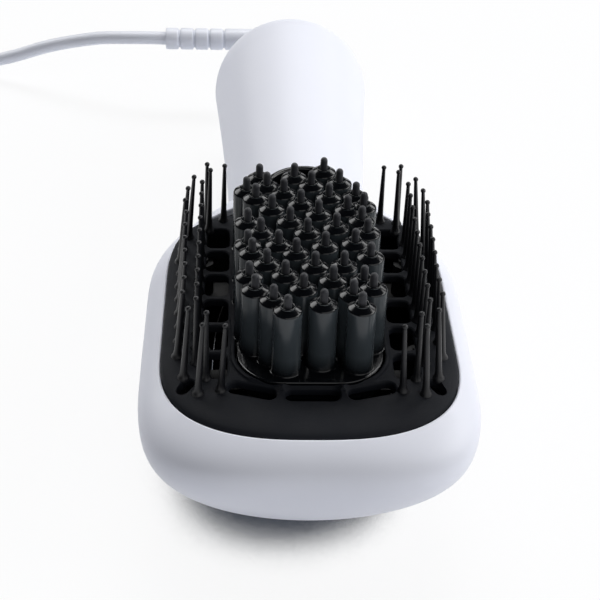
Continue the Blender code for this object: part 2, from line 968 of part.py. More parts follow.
def make_housing():
    """The white outer shell: the head's sides and rim, the neck and the handle."""
    housing = add_object("main_housing", *body_solid(), "white_shell")
    cut(housing, cavity_guide("housing_hollow"))
    seat = plate_edge_height - plate_edge_depth - fit_gap
    top = crown_height + overrun
    opening = add_object("plate_opening", *prism(plate_outline(0, 0, fit_gap), seat, top), None)
    cut(housing, opening)
    window = add_object("cover_opening", *prism(cover_outline(0), -overrun, cover_top), None)
    cut(housing, window)
    posts, webs = post_solids()
    web_guide = add_object("housing_webs", *several(webs), None)
    join(housing, keep(web_guide, add_object("web_limits", *body_solid(wall / 2), None)))
    join(housing, add_object("housing_posts", *several(posts), None))
    low = board_height - fit_gap
    high = board_height + board_thickness + fit_gap
    half = board_width / 2 + fit_gap
    front, back = head_y + board_front - overrun, head_y + board_back + overrun
    slot = box((-half, front, low), (half, back, high))
    cut(housing, add_object("board_slot", *slot, None))
    bore = screw_shaft_radius + fit_gap
    levels = ((-overrun, bore), (screw_length + overrun, bore))
    holes = [turned(levels, upward(x, y, 0), small_sides) for x, y in screw_places()]
    cut(housing, add_object("housing_screw_holes", *several(holes), None))
    return housing


def make_back_cover():
    """The cover on the back, shaped like the body there, with the screw seats and the bezel's hole."""
    cover = add_object("back_cover", *body_solid(), "white_shell")
    hollow = body_solid(wall, tail_seam_reach + overrun)
    cut(cover, guide(add_object("cover_hollow", *hollow, None)))
    limits = prism(cover_outline(-fit_gap), -overrun, cover_top - fit_gap)
    keep(cover, add_object("cover_limits", *limits, None))
    bosses = []
    for x, y in screw_places():
        levels = ((body_low_at(x, y) + wall / 2, post_radius), (post_foot - fit_gap, post_radius))
        bosses.append(turned(levels, upward(x, y, 0), small_sides))
    join(cover, add_object("cover_bosses", *several(bosses), None))
    bore = screw_shaft_radius + fit_gap
    seat = screw_head_radius + fit_gap
    holes = []
    for x, y in screw_places():
        seat_level = body_low_at(x, y) + screw_recess + screw_head_depth + fit_gap
        levels = ((-overrun, seat), (seat_level, seat), (seat_level, bore), (post_foot, bore))
        holes.append(turned(levels, upward(x, y, 0), small_sides))
    cut(cover, add_object("cover_screw_holes", *several(holes), None))
    hole = prism(bezel_outline(fit_gap), -overrun, cover_top)
    cut(cover, add_object("bezel_hole", *hole, None))
    return cover


def bezel_outline(grow):
    half = bezel_width / 2 + grow
    corner = half - fit_gap
    spots = rounded_rectangle(half, bezel_front - grow, bezel_back + grow, corner, corner, 4)
    return placed(spots, 0, 0)


def make_screws():
    corners = (("front", screw_front_y), ("back", screw_back_y))
    for side, word in ((-1, "left"), (1, "right")):
        for end, y in corners:
            name = "cover_screw_" + word + "_" + end
            x = side * screw_x
            head_low = body_low_at(x, y) + screw_recess
            head_high = head_low + screw_head_depth
            profile = (
                (head_low, screw_head_radius),
                (head_high, screw_head_radius),
                (head_high, screw_shaft_radius),
                (screw_length, screw_shaft_radius),
            )
            screw = add_object(name, *turned(profile, upward(x, y, 0), small_sides), "steel")
            half = screw_slot_width / 2
            reach = screw_head_radius + overrun
            slot = box(
                (x - reach, head_y + y - half, head_low - overrun),
                (x + reach, head_y + y + half, head_low + screw_slot_depth),
            )
            cut(screw, add_object(name + "_slot", *slot, None))


def make_plate():
    """The black vented plate, its curved lip, the rim round the pad and all the pins."""
    top = [plate_ring(share) for share in lip_shares]
    edge_low = plate_edge_height - plate_edge_depth
    outer = plate_outline(0, 0)
    inner = plate_outline(plate_thickness, plate_thickness)
    shoulder = plate_outline(front_lip, side_lip)
    under = [
        [(x, y, plate_underside) for x, y in shoulder],
        [(x, y, edge_low) for x, y in inner],
        [(x, y, edge_low) for x, y in outer],
    ]
    plate = add_object("bristle_plate", *loft(under + top), "black_matt")
    rim_rings = [
        [(x, y, plate_height + level) for x, y in pad_outline(pad_gap + across)]
        for across, level in (
            (0.0, -pin_root),
            (0.0, rim_rise * rim_inner_share),
            (rim_width * rim_crest_share, rim_rise),
            (rim_width, 0.0),
            (rim_width, -pin_root),
        )
    ]
    join(plate, add_object("pad_rim", *tube_loft(rim_rings), None))
    pins = [pin_solid(foot, tip, side) for side in (-1, 1) for foot, tip in pin_places()]
    join(plate, add_object("pins", *several(pins), None))
    low, high = plate_underside - overrun, plate_height + overrun
    opening = prism(pad_outline(pad_gap), low, high)
    cut(plate, add_object("pad_opening", *opening, None))
    vents = [prism(outline, low, high) for outline in vent_outlines()]
    cut(plate, add_object("vents", *several(vents), None))
    levels = ((-overrun, bracket_pin_radius), (plate_thickness / 2, bracket_pin_radius))
    sockets = [
        turned(levels, upward(x, y, plate_underside), small_sides) for x, y in bracket_places()
    ]
    cut(plate, add_object("bracket_sockets", *several(sockets), None))
    return plate


def bracket_places():
    inset = bracket_arm_width / 2
    return [
        (side * (bracket_arm_reach - inset), y)
        for side in (-1, 1)
        for y in (bracket_arm_front, bracket_arm_back)
    ]


def make_pad(spots):
    """The glossy pad: a base held under the plate by its flange, hollow pillars and an end wall."""
    base = [
        [(x, y, flange_bottom) for x, y in pad_outline(pad_flange_width)],
        [(x, y, flange_top) for x, y in pad_outline(pad_flange_width)],
        [(x, y, flange_top) for x, y in pad_outline(0)],
        [(x, y, pad_top - pad_edge) for x, y in pad_outline(0)],
        [(x, y, pad_top) for x, y in pad_outline(-pad_edge)],
    ]
    pad = add_object("heater_pad", *loft(base), "black_gloss")
    levels = (
        (pad_top - pad_edge, pillar_radius),
        (plate_height + pillar_height - pillar_shoulder, pillar_radius - pillar_taper),
        (plate_height + pillar_height, pillar_top_radius),
    )
    pillars, bores = [], []
    for spot in spots:
        rings = [
            [(x, y, z) for x, y in placed(circle(r, pillar_sides), spot.x, spot.y)]
            for z, r in levels
        ]
        pillars.append(loft(rings))
        hole = placed(circle(bore_radius, bore_sides), spot.x, spot.y)
        bores.append(prism(hole, flange_bottom - overrun, plate_height + pillar_height + overrun))
    join(pad, add_object("pillars", *several(pillars), None))
    join(pad, add_object("end_wall", *end_wall_solid(), None))
    cut(pad, add_object("pillar_bores", *several(bores), None))
    return pad


def end_wall_solid():
    """A curved wall behind the last pillars, with a rounded top."""
    low = pad_top - pad_edge
    high = plate_height + end_wall_height
    edge = end_wall_edge
    rings = []
    for i in range(end_wall_steps + 1):
        angle = math.pi / 2 + end_wall_half_angle * (1 - 2 * i / end_wall_steps)
        c, s = math.cos(angle), math.sin(angle)
        section = (
            (end_wall_radius - end_wall_thickness, low),
            (end_wall_radius - end_wall_thickness, high - edge),
            (end_wall_radius - end_wall_thickness + edge, high),
            (end_wall_radius - edge, high),
            (end_wall_radius, high - edge),
            (end_wall_radius, low),
        )
        rings.append([(r * c, head_y + end_wall_centre + r * s, z) for r, z in section])
    return loft(rings)


def make_tip_mat(spots):
    """The soft mat: a sheet under the pad with a stem up through every pillar."""
    sheet = prism(pad_outline(pad_flange_width), mat_bottom, mat_top)
    mat = add_object("tip_mat", *sheet, "soft_grey")
    top = plate_height + pillar_height + tip_reach
    stems = []
    for spot in spots:
        rings = [
            [(x, y, z) for x, y in placed(circle(r, tip_sides), spot.x, spot.y)]
            for z, r in (
                (mat_top - mat_thickness / 2, tip_radius),
                (top - tip_radius, tip_radius),
                (top - tip_radius * tip_dome_share, tip_radius * math.cos(math.pi / 4)),
            )
        ]
        points, faces = loft(rings)
        apex = len(points)
        points.append((spot.x, head_y + spot.y, top))
        last = faces.pop()
        faces += [(last[i], last[(i + 1) % len(last)], apex) for i in range(len(last))]
        stems.append((points, faces))
    join(mat, add_object("tip_stems", *several(stems), None))
    return mat


def make_pad_heater():
    """Heating slab with fins below, its mica sheet, and the bracket that hangs from the plate."""
    half = heater_width / 2
    slab = box((-half, head_y + heater_front, heater_bottom), (half, head_y + heater_back, heater_top))
    heater = add_object("pad_heater", *slab, "alumina")
    grooves = []
    run = heater_back - heater_front
    pitch = run / heater_fin_count
    for k in range(1, heater_fin_count):
        y = head_y + heater_front + k * pitch
        grooves.append(
            box(
                (-half - overrun, y - heater_fin_gap / 2, heater_bottom - overrun),
                (half + overrun, y + heater_fin_gap / 2, heater_top - heater_fin_width),
            )
        )
    cut(heater, add_object("heater_grooves", *several(grooves), None))
    edge = half + insulator_margin
    sheet = box(
        (-edge, head_y + heater_front - insulator_margin, insulator_bottom),
        (edge, head_y + heater_back + insulator_margin, insulator_top),
    )
    add_object("insulator_sheet", *sheet, "mica")
    spine = box(
        (-bracket_width / 2, head_y + heater_front, bracket_bottom),
        (bracket_width / 2, head_y + heater_back, bracket_top),
    )
    bracket = add_object("heater_bracket", *spine, "dark_plastic")
    lift = bracket_thickness * bracket_arm_share
    arms = [
        box(
            (-bracket_arm_reach, head_y + y - bracket_arm_width / 2, bracket_bottom + lift),
            (bracket_arm_reach, head_y + y + bracket_arm_width / 2, bracket_top - lift),
        )
        for y in (bracket_arm_front, bracket_arm_back)
    ]
    join(bracket, add_object("bracket_arms", *several(arms), None))
    pin_top = plate_underside + plate_thickness / 2 - fit_gap
    posts = [
        turned(
            (
                (bracket_top - bracket_thickness / 2, bracket_post_radius),
                (plate_underside - fit_gap, bracket_post_radius),
                (plate_underside - fit_gap, bracket_pin_radius - fit_gap),
                (pin_top, bracket_pin_radius - fit_gap),
            ),
            upward(x, y, 0),
            small_sides,
        )
        for x, y in bracket_places()
    ]
    join(bracket, add_object("bracket_posts", *several(posts), None))


def make_thermal_guards():
    """The fuse and the thermistor, lying under the bracket."""
    height = bracket_bottom - fit_gap - fuse_radius
    half = fuse_length / 2
    profile = (
        (-half - fuse_cap_length, fuse_cap_radius),
        (-half, fuse_cap_radius),
        (-half, fuse_radius),
        (half, fuse_radius),
        (half, fuse_cap_radius),
        (half + fuse_cap_length, fuse_cap_radius),
    )
    add_object("thermal_fuse", *turned(profile, along_y(fuse_y, height), small_sides), "steel")
    height = bracket_bottom - fit_gap - thermistor_radius
    half = thermistor_length / 2
    edge = thermistor_edge
    bead = (
        (-half, thermistor_radius - edge),
        (edge - half, thermistor_radius),
        (half - edge, thermistor_radius),
        (half, thermistor_radius - edge),
    )
    add_object("thermistor", *turned(bead, along_y(thermistor_y, height), small_sides), "mica")


def make_air_heater():
    """Sleeve, mica former and the wire wound on it, in the neck."""
    inner = sleeve_radius - sleeve_wall
    run = sleeve_back - sleeve_front
    profile = ((0, inner), (run, inner), (run, sleeve_radius), (0, sleeve_radius))
    frame = along_y(sleeve_front, sleeve_axis_height)
    add_object("heater_sleeve", *hollow_turned(profile, frame, round_sides), "mica")
    half, thin = former_half_width, former_thickness / 2
    cross = (
        (half, thin), (thin, thin), (thin, half), (-thin, half), (-thin, thin), (-half, thin),
        (-half, -thin), (-thin, -thin), (-thin, -half), (thin, -half), (thin, -thin), (half, -thin),
    )
    start, end = sleeve_front + former_margin, sleeve_back - former_margin
    rings = [
        [(x, head_y + y, sleeve_axis_height + z) for x, z in cross] for y in (start, end)
    ]
    add_object("mica_former", *loft(rings), "mica")
    radius = former_half_width + wire_radius + wire_gap
    margin = former_margin
    count = wire_turns * wire_points
    route = []
    for i in range(count + 1):
        angle = 2 * math.pi * i / wire_points
        y = mix(start + margin, end - margin, i / count)
        route.append((radius * math.cos(angle), head_y + y, sleeve_axis_height + radius * math.sin(angle)))
    add_cord("heating_wire", route, 2 * wire_radius, 0, "nickel_wire")


def make_ion_emitter():
    low = body_section(ion_y + ion_length / 2)[1] + wall + ion_seat
    half = ion_width / 2
    block = box(
        (-half, head_y + ion_y - ion_length / 2, low),
        (half, head_y + ion_y + ion_length / 2, low + ion_depth),
    )
    emitter = add_object("ion_emitter", *block, "dark_plastic")
    profile = (
        (-overrun, needle_radius),
        (needle_length, needle_radius),
        (needle_length + overrun, needle_tip_radius),
    )
    frame = along_y(ion_y + ion_length / 2, low + ion_depth / 2)
    join(emitter, add_object("needle", *turned(profile, frame, small_sides), None))


def make_controls():
    """Bezel, two buttons that push up into the body, and the board that carries their switches."""
    slab = prism(bezel_outline(0), bezel_face, bezel_face + bezel_depth)
    bezel = add_object("button_bezel", *slab, "button_grey")
    holes, switches = [], []
    for y in (button_first_y, button_second_y):
        radius = button_radius + fit_gap
        room = button_radius + button_flange + fit_gap
        shelf = bezel_face + bezel_depth - button_flange_height - button_travel - 2 * fit_gap
        profile = (
            (bezel_face - overrun, radius),
            (shelf, radius),
            (shelf, room),
            (bezel_face + bezel_depth + overrun, room),
        )
        holes.append(turned(profile, upward(0, y, 0), round_sides))
        half = switch_width / 2
        switches.append(
            box(
                (-half, head_y + y - half, board_height - switch_height),
                (half, head_y + y + half, board_height + board_thickness / 2),
            )
        )
    cut(bezel, add_object("button_holes", *several(holes), None))
    shelf = bezel_face + bezel_depth - button_flange_height - button_travel - fit_gap
    stem_top = board_height - switch_height - button_travel - fit_gap
    for name, y in (("power_button", button_first_y), ("heat_button", button_second_y)):
        profile = (
            (button_face + button_dish, button_radius * button_dish_share),
            (button_face, button_radius * button_rim_share),
            (button_face + button_dish, button_radius),
            (shelf, button_radius),
            (shelf, button_radius + button_flange),
            (shelf + button_flange_height, button_radius + button_flange),
            (shelf + button_flange_height, button_stem_radius),
            (stem_top, button_stem_radius),
        )
        solid = turned(profile, upward(0, y, 0), round_sides)
        add_object(name, *solid, "button_grey", (0, head_y + y, button_face))
    half = board_width / 2
    board = box(
        (-half, head_y + board_front, board_height),
        (half, head_y + board_back, board_height + board_thickness),
    )
    board = add_object("control_board", *board, "board_green")
    join(board, add_object("tact_switches", *several(switches), None))


def blade_solids(count, inner, outer, low, high, thickness, twist, frame):
    """Flat blades set round a hub at a twist: each a box from one radius to another."""
    solids = []
    middle, half_run = (low + high) / 2, (high - low) / 2
    for k in range(count):
        spin = Matrix.Rotation(2 * math.pi * k / count, 4, "X")
        tilt = Matrix.Rotation(twist, 4, "Z")
        place = frame @ spin @ Matrix.Translation((middle, 0, 0)) @ tilt
        half = thickness / 2
        reach = half_run / math.cos(twist) - half * math.tan(twist)
        corners = [
            (sx * reach, sy * half, r)
            for r in (inner, outer)
            for sx, sy in ((-1, -1), (1, -1), (1, 1), (-1, 1))
        ]
        spots = [place @ Vector(corner) for corner in corners]
        solids.append(loft([spots[:4], spots[4:]]))
    return solids


def make_fan():
    """Motor mount with its guide vanes, the motor, and the fan on the motor's shaft."""
    axis = handle_axis_at((mount_front + fan_back) / 2)
    frame = along_y(0, axis)
    outer = handle_radius_at(mount_front) - wall - mount_gap - abs(axis - handle_axis_at(mount_front))
    inner = outer - mount_wall
    hub = motor_radius + fit_gap + mount_hub_wall
    ring = (
        (mount_front, inner),
        (mount_back, inner),
        (mount_back, outer),
        (mount_front, outer),
    )
    mount = add_object("motor_mount", *hollow_turned(ring, frame, round_sides), "dark_plastic")
    bore = motor_radius + fit_gap
    cup = ((mount_front, bore), (mount_back, bore), (mount_back, hub), (mount_front, hub))
    join(mount, add_object("mount_hub", *hollow_turned(cup, frame, round_sides), None))
    inside = mount_hub_wall / 2
    margin = fit_gap
    vanes = blade_solids(
        vane_count, hub - inside, inner + mount_wall / 2, mount_front + margin, mount_back - margin,
        vane_thickness, vane_twist, frame,
    )
    join(mount, add_object("mount_vanes", *several(vanes), None))
    hole = shaft_radius + shaft_gap
    can = (
        (motor_front, hole),
        (motor_back, hole),
        (motor_back, motor_radius - motor_edge),
        (motor_back - motor_edge, motor_radius),
        (motor_front + motor_edge, motor_radius),
        (motor_front, motor_radius - motor_edge),
    )
    add_object("fan_motor", *hollow_turned(can, frame, round_sides), "steel")
    tip = handle_radius_at(fan_front) - wall - fan_tip_gap - abs(axis - handle_axis_at(fan_front))
    hub_profile = (
        (motor_front + motor_edge, shaft_radius),
        (fan_front, shaft_radius),
        (fan_front, fan_hub_radius),
        (fan_back - hub_nose, fan_hub_radius),
        (fan_back, hub_nose_radius),
    )
    hub_solid = turned(hub_profile, frame, round_sides)
    fan = add_object("fan_impeller", *hub_solid, "dark_plastic", (0, head_y + fan_front, axis))
    blades = blade_solids(
        blade_count, hub_nose_radius, tip, fan_front, fan_back - hub_nose, blade_thickness,
        blade_twist, frame,
    )
    join(fan, add_object("fan_blades", *several(blades), None))


def tail_radius(y, inset=0.0):
    share = (y - handle_reach) / (dome_length - inset)
    return (handle_radius - inset) * math.sqrt(max(0.0, 1 - share * share))


def tail_reach_at(radius, inset=0.0):
    share = radius / (handle_radius - inset)
    return handle_reach + (dome_length - inset) * math.sqrt(1 - share * share)


def make_tail():
    """Domed tail cap with radial air slots, the filter behind it and the cord outlet."""
    frame = along_y(0, dome_centre_height)
    seam = tail_seam_reach + fit_gap
    hole = outlet_radius + fit_gap
    widest = tail_radius(seam)
    radii = [widest] + [widest * share for share in cap_outer_shares] + [hole]
    outside = [(seam, widest)] + [(tail_reach_at(r), r) for r in radii[1:]]
    inner_radii = [hole] + [(widest - wall) * share for share in cap_inner_shares]
    inside = [(tail_reach_at(r, wall), r) for r in inner_radii]
    spigot_outer = tail_radius(tail_seam_reach - spigot_length, wall) - fit_gap
    spigot_outer = min(spigot_outer, tail_radius(seam, wall) - fit_gap)
    lip = [
        (seam + wall / 2, spigot_outer - spigot_wall),
        (tail_seam_reach - spigot_length, spigot_outer - spigot_wall),
        (tail_seam_reach - spigot_length, spigot_outer),
        (seam, spigot_outer),
    ]
    skin = hollow_turned(outside + inside + lip, frame, body_sides)
    cap = add_object("tail_cap", *skin, "white_shell")
    slots = []
    for k in range(slot_count):
        spin = Matrix.Rotation(2 * math.pi * (k + 0.5) / slot_count, 4, "X")
        half = slot_width / 2
        inner, outer = slot_inner_radius, slot_outer_radius
        corners = [
            (a, b, r)
            for a in (tail_seam_reach + wall, handle_reach + dome_length + overrun)
            for b, r in ((-half, inner), (half, inner), (half, outer), (-half, outer))
        ]
        spots = [frame @ spin @ Vector(corner) for corner in corners]
        slots.append(loft([spots[:4], spots[4:]]))
    cut(cap, add_object("air_slots", *several(slots), None))
    filter_outer = spigot_outer - spigot_wall - fit_gap
    start = tail_seam_reach - spigot_length + filter_thickness
    ring = (
        (start, filter_inner_radius),
        (start + filter_thickness, filter_inner_radius),
        (start + filter_thickness, filter_outer),
        (start, filter_outer),
    )
    dust = add_object("dust_filter", *hollow_turned(ring, frame, body_sides), "dark_plastic")
    windows = []
    low, high = filter_inner_radius + filter_rim, filter_outer - filter_rim
    for k in range(filter_window_count):
        middle = 2 * math.pi * k / filter_window_count
        spread = math.pi / filter_window_count - filter_rim / (low + high)
        spots = [
            (r * math.cos(middle + a), r * math.sin(middle + a))
            for r, a in ((low, -spread), (high, -spread), (high, spread), (low, spread))
        ]
        rings = [
            [frame @ Vector((a, *spot)) for spot in spots]
            for a in (start - overrun, start + filter_thickness + overrun)
        ]
        windows.append(loft(rings))
    cut(dust, add_object("filter_windows", *several(windows), None))
    make_outlet(frame)


def make_outlet(frame):
    """The cord outlet: a stub through the cap with a flange inside and a side bore to -X."""
    end = handle_reach + dome_length + outlet_length
    flange_back = tail_reach_at(outlet_flange_radius, wall) - fit_gap
    flange_front = flange_back - outlet_flange_thickness
    profile = (
        (flange_front, outlet_flange_radius),
        (flange_back, outlet_flange_radius),
        (flange_back, outlet_radius),
        (end - outlet_edge, outlet_radius),
        (end, outlet_radius - outlet_edge),
    )
    outlet = add_object("cord_outlet", *turned(profile, frame, round_sides), "white_shell")
    side = along_minus_x(0, outlet_axis_y, dome_centre_height)
    arm = (
        (0, outlet_radius),
        (elbow_reach - outlet_edge, outlet_radius),
        (elbow_reach, outlet_radius - outlet_edge),
    )
    join(outlet, add_object("outlet_elbow", *turned(arm, side, round_sides), None))
    levels = ((flange_front - overrun, outlet_bore), (outlet_axis_y, outlet_bore))
    cut(outlet, add_object("outlet_bore", *turned(levels, frame, small_sides), None))
    levels = ((-overrun, relief_bore), (elbow_reach + overrun, relief_bore))
    cut(outlet, add_object("relief_mouth", *turned(levels, side, small_sides), None))


def make_relief():
    """The ribbed strain relief, turned about its own axis, with its root in the outlet's bore."""
    root = relief_bore - fit_gap
    start = elbow_reach - relief_root_length
    shoulder = elbow_reach + fit_gap
    profile = [(start, root), (shoulder, root), (shoulder, relief_radius)]
    ribbed = relief_segments * relief_segment_length - relief_groove_width
    first = relief_reach - ribbed
    profile.append((first - 2 * relief_groove_width, relief_radius))
    profile.append((first - relief_groove_width, relief_neck_radius))
    for k in range(relief_segments):
        low = first + k * relief_segment_length
        high = low + relief_segment_length - relief_groove_width
        edge = relief_groove_edge
        if k:
            profile.append((low - relief_groove_width + edge, relief_groove_radius))
            profile.append((low - edge, relief_groove_radius))
        profile.append((low, relief_radius))
        profile.append((high, relief_radius))
    frame = along_minus_x(0, outlet_axis_y, dome_centre_height)
    solid = turned(profile, frame, relief_sides)
    origin = (-elbow_reach, head_y + outlet_axis_y, dome_centre_height)
    add_object("strain_relief", *solid, "cord_grey", origin)


def smooth_route(route, spacing):
    """Points at even steps along a smooth curve through the route's own points."""
    knots = [Vector(p) for p in route]
    ends = [2 * knots[0] - knots[1]] + knots + [2 * knots[-1] - knots[-2]]
    dense = []
    for i in range(1, len(ends) - 2):
        a, b, c, d = ends[i - 1 : i + 3]
        for k in range(cord_steps):
            t = k / cord_steps
            bend = (2 * a - 5 * b + 4 * c - d) * t**2 + (3 * b - a - 3 * c + d) * t**3
            dense.append((2 * b + (c - a) * t + bend) / 2)
    dense.append(knots[-1])
    lengths = [0.0]
    for p, q in zip(dense, dense[1:]):
        lengths.append(lengths[-1] + (q - p).length)
    count = max(2, round(lengths[-1] / spacing))
    points, k = [], 0
    for i in range(count + 1):
        target = lengths[-1] * i / count
        while k < len(dense) - 2 and lengths[k + 1] < target:
            k += 1
        span = lengths[k + 1] - lengths[k]
        points.append(dense[k].lerp(dense[k + 1], (target - lengths[k]) / span))
    return points


def add_cord(name, points, diameter, fineness, look):
    """A round cord along the points: a curve with a bevel and filled ends."""
    curve = bpy.data.curves.new(name, "CURVE")
    curve.dimensions = "3D"
    curve.bevel_depth = diameter / 2
    curve.bevel_resolution = fineness
    curve.use_fill_caps = True
    line = curve.splines.new("POLY")
    line.points.add(len(points) - 1)
    for spot, point in zip(line.points, points):
        spot.co = (*point, 1)
    curve.materials.append(finish(look))
    obj = bpy.data.objects.new(name, curve)
    bpy.context.scene.collection.objects.link(obj)
    return obj


def coil_route():
    """The coil: it spirals in on the lower layer, climbs where it turns, and spirals out above."""
    centre_y = head_y + cord_route[-1][1] - coil_outer_radius
    low = coil_lift + cord_diameter / 2
    middle = math.pi / 2 + 2 * math.pi * coil_turns
    points = []
    first = Vector((coil_centre_x + cord_diameter, centre_y + coil_outer_radius, low))
    points.append(first)
    for i in range(round(2 * coil_turns * coil_points) + 1):
        angle = math.pi / 2 + 2 * math.pi * i / coil_points
        away = angle - middle
        radius = coil_inner_radius + coil_pitch * abs(away) / (2 * math.pi)
        climb = min(1.0, max(0.0, away / math.pi + 0.5))
        x = coil_centre_x + radius * math.cos(angle)
        y = centre_y + radius * math.sin(angle)
        points.append(Vector((x, y, low + coil_pitch * climb)))
    last = points[-1].copy()
    points.append(last - Vector((coil_tail, 0, 0)))
    return points


def least_gap(points, diameter):
    """The smallest clear gap between stretches of the cord that are not neighbours."""
    least = math.inf
    skip = coil_points // 2
    for i, p in enumerate(points):
        for q in points[i + skip:]:
            least = min(least, (p - q).length - diameter)
    return least


def make_cord():
    """The free cord from the strain relief, the coil of the rest, its tie and the plug."""
    coil = coil_route()
    start = outlet_axis_world()
    points = smooth_route(cord_world_route(), cord_point_spacing)
    points[0] = start
    end = points[-1]
    end.x = coil[0].x + fit_gap
    add_cord("mains_cord", points, cord_diameter, 2, "cord_grey")
    add_cord("cord_coil", coil, cord_diameter, 1, "cord_grey")
    gap = least_gap(coil[1:-1], cord_diameter)
    print("least gap of the coil to itself, mm:", round(gap / millimetre, 3))
    make_tie()
    make_plug(coil[-1])


def outlet_axis_world():
    return Vector((-relief_reach - fit_gap, head_y + outlet_axis_y, dome_centre_height))


def cord_world_route():
    return [(x, head_y + y, z) for x, y, z in cord_route]


def make_tie():
    """A flat band round the coil's bundle, on its -Y side."""
    centre_y = head_y + cord_route[-1][1] - coil_outer_radius
    room = cord_diameter / 2 + tie_gap
    near, far = coil_inner_radius - coil_pitch / 2 - room, coil_outer_radius + room
    low, high = tie_thickness, coil_lift + coil_pitch + cord_diameter + tie_gap
    inner = ((near, low), (far, low), (far, high), (near, high))
    t = tie_thickness
    outer = ((near - t, 0), (far + t, 0), (far + t, high + t), (near - t, high + t))
    rings = []
    for half, loop in ((-1, inner), (1, inner), (1, outer), (-1, outer)):
        x = coil_centre_x + half * tie_width / 2
        rings.append([(x, centre_y - r, z) for r, z in loop])
    add_object("cord_tie", *tube_loft(rings), "dark_plastic")


def make_plug(joint):
    """A flat two-pin plug lying beside the coil, its neck on the cord's end."""
    frame = Matrix.Translation((joint.x - fit_gap, joint.y, joint.z)) @ Matrix.Rotation(math.pi, 4, "Z")
    half_w, half_d = plug_width / 2, joint.z
    stations = [
        (0, plug_neck_start_radius, plug_neck_start_radius, round_section_power),
        (plug_neck_length, plug_neck_radius, plug_neck_radius, round_section_power),
    ]
    for run, wide, deep in zip(plug_length_shares, plug_width_shares, plug_depth_shares):
        along = plug_neck_length + plug_length * run
        stations.append((along, half_w * wide, half_d * deep, plug_power))
    rings = []
    for along, w, d, power in stations:
        ring = []
        for i in range(plug_sides):
            angle = 2 * math.pi * (i + 0.5) / plug_sides
            c, s = math.cos(angle), math.sin(angle)
            y = w * math.copysign(abs(c) ** (2 / power), c)
            z = d * math.copysign(abs(s) ** (2 / power), s)
            ring.append(frame @ Vector((along, y, z)))
        rings.append(ring)
    plug = add_object("mains_plug", *loft(rings), "cord_grey")
    face = plug_neck_length + plug_length
    seats = []
    for word, side in (("left", 1), ("right", -1)):
        y = side * prong_spacing / 2
        place = frame @ Matrix.Translation((0, y, 0))
        profile = (
            (face - prong_seat + fit_gap, prong_radius),
            (face + prong_length - prong_edge, prong_radius),
            (face + prong_length, prong_radius - prong_edge),
        )
        add_object("plug_pin_" + word, *turned(profile, place, small_sides), "brass")
        wide = prong_radius + fit_gap
        seats.append(turned(((face - prong_seat, wide), (face + overrun, wide)), place, small_sides))
    cut(plug, add_object("prong_seats", *several(seats), None))


def main():
    clear_scene()
    spots = pillar_spots()
    make_housing()
    make_back_cover()
    make_screws()
    make_plate()
    make_pad(spots)
    make_tip_mat(spots)
    make_pad_heater()
    make_thermal_guards()
    make_air_heater()
    make_ion_emitter()
    make_controls()
    make_fan()
    make_tail()
    make_relief()
    make_cord()


main()
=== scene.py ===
# %% [markdown]
# # A hot air brush
#
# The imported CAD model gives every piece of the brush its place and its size. This lesson dresses it: the
# white shell, the black vented plate, the heated pad with its pillars and soft tips, the pins, the cord and
# what hides on the back. Each step says what the piece is, how it could be made, and why this way was taken.

import math

import bpy
import numpy as np
from mathutils import Matrix, Vector


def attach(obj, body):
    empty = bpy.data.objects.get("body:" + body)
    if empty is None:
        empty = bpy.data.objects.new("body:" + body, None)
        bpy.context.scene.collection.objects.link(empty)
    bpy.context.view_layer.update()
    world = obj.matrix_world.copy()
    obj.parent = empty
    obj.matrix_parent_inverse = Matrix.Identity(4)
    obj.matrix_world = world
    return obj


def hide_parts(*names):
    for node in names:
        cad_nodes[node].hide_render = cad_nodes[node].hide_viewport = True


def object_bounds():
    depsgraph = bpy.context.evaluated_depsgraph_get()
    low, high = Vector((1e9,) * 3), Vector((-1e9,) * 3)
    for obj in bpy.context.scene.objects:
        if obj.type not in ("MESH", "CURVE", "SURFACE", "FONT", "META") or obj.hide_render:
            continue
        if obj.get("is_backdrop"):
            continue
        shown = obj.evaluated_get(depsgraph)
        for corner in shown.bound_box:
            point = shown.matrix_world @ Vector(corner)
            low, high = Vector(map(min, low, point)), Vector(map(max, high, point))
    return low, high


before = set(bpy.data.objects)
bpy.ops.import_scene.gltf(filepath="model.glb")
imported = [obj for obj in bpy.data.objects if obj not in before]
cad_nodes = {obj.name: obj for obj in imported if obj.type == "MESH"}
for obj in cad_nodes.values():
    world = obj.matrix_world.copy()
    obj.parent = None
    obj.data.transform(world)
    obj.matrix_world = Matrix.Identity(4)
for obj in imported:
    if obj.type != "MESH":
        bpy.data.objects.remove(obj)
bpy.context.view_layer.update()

# %% [markdown]
# The camera comes first. It stands in front of the head and looks down at 37 degrees. The brush is turned a
# little in the picture, and the camera is rolled a little, so the camera gets both and the brush stays
# straight in its own frame. Places along the brush are measured from the middle of its head, which lies at
# head_y.

# %% The camera
head_y = -0.07025
camera_place = Vector((-0.01578, head_y - 0.23746, 0.22446))
camera_down = math.radians(37)
camera_yaw = math.radians(3.3)
camera_roll = math.radians(2.334)


def added(operator, **settings):
    """Adds an object with nothing else selected."""
    bpy.ops.object.select_all(action="DESELECT")
    operator(**settings)
    return bpy.context.object


camera = added(bpy.ops.object.camera_add)
aim = Matrix.Rotation(-camera_yaw, 4, "Z") @ Matrix.Rotation(math.pi / 2 - camera_down, 4, "X")
camera.matrix_world = Matrix.Translation(camera_place) @ aim @ Matrix.Rotation(camera_roll, 4, "Z")
camera.data.lens = 76.8
camera.data.sensor_width = 36
camera.data.clip_start = 0.01
camera.data.clip_end = 20
bpy.context.scene.camera = camera
print("camera at", [round(c, 3) for c in camera_place])

# %% [markdown]
# Colours are written as sRGB hex values. Shaders work in linear light, so one function turns them. Another
# small function adds a node with its values and its links, and every material below is made of calls to it.

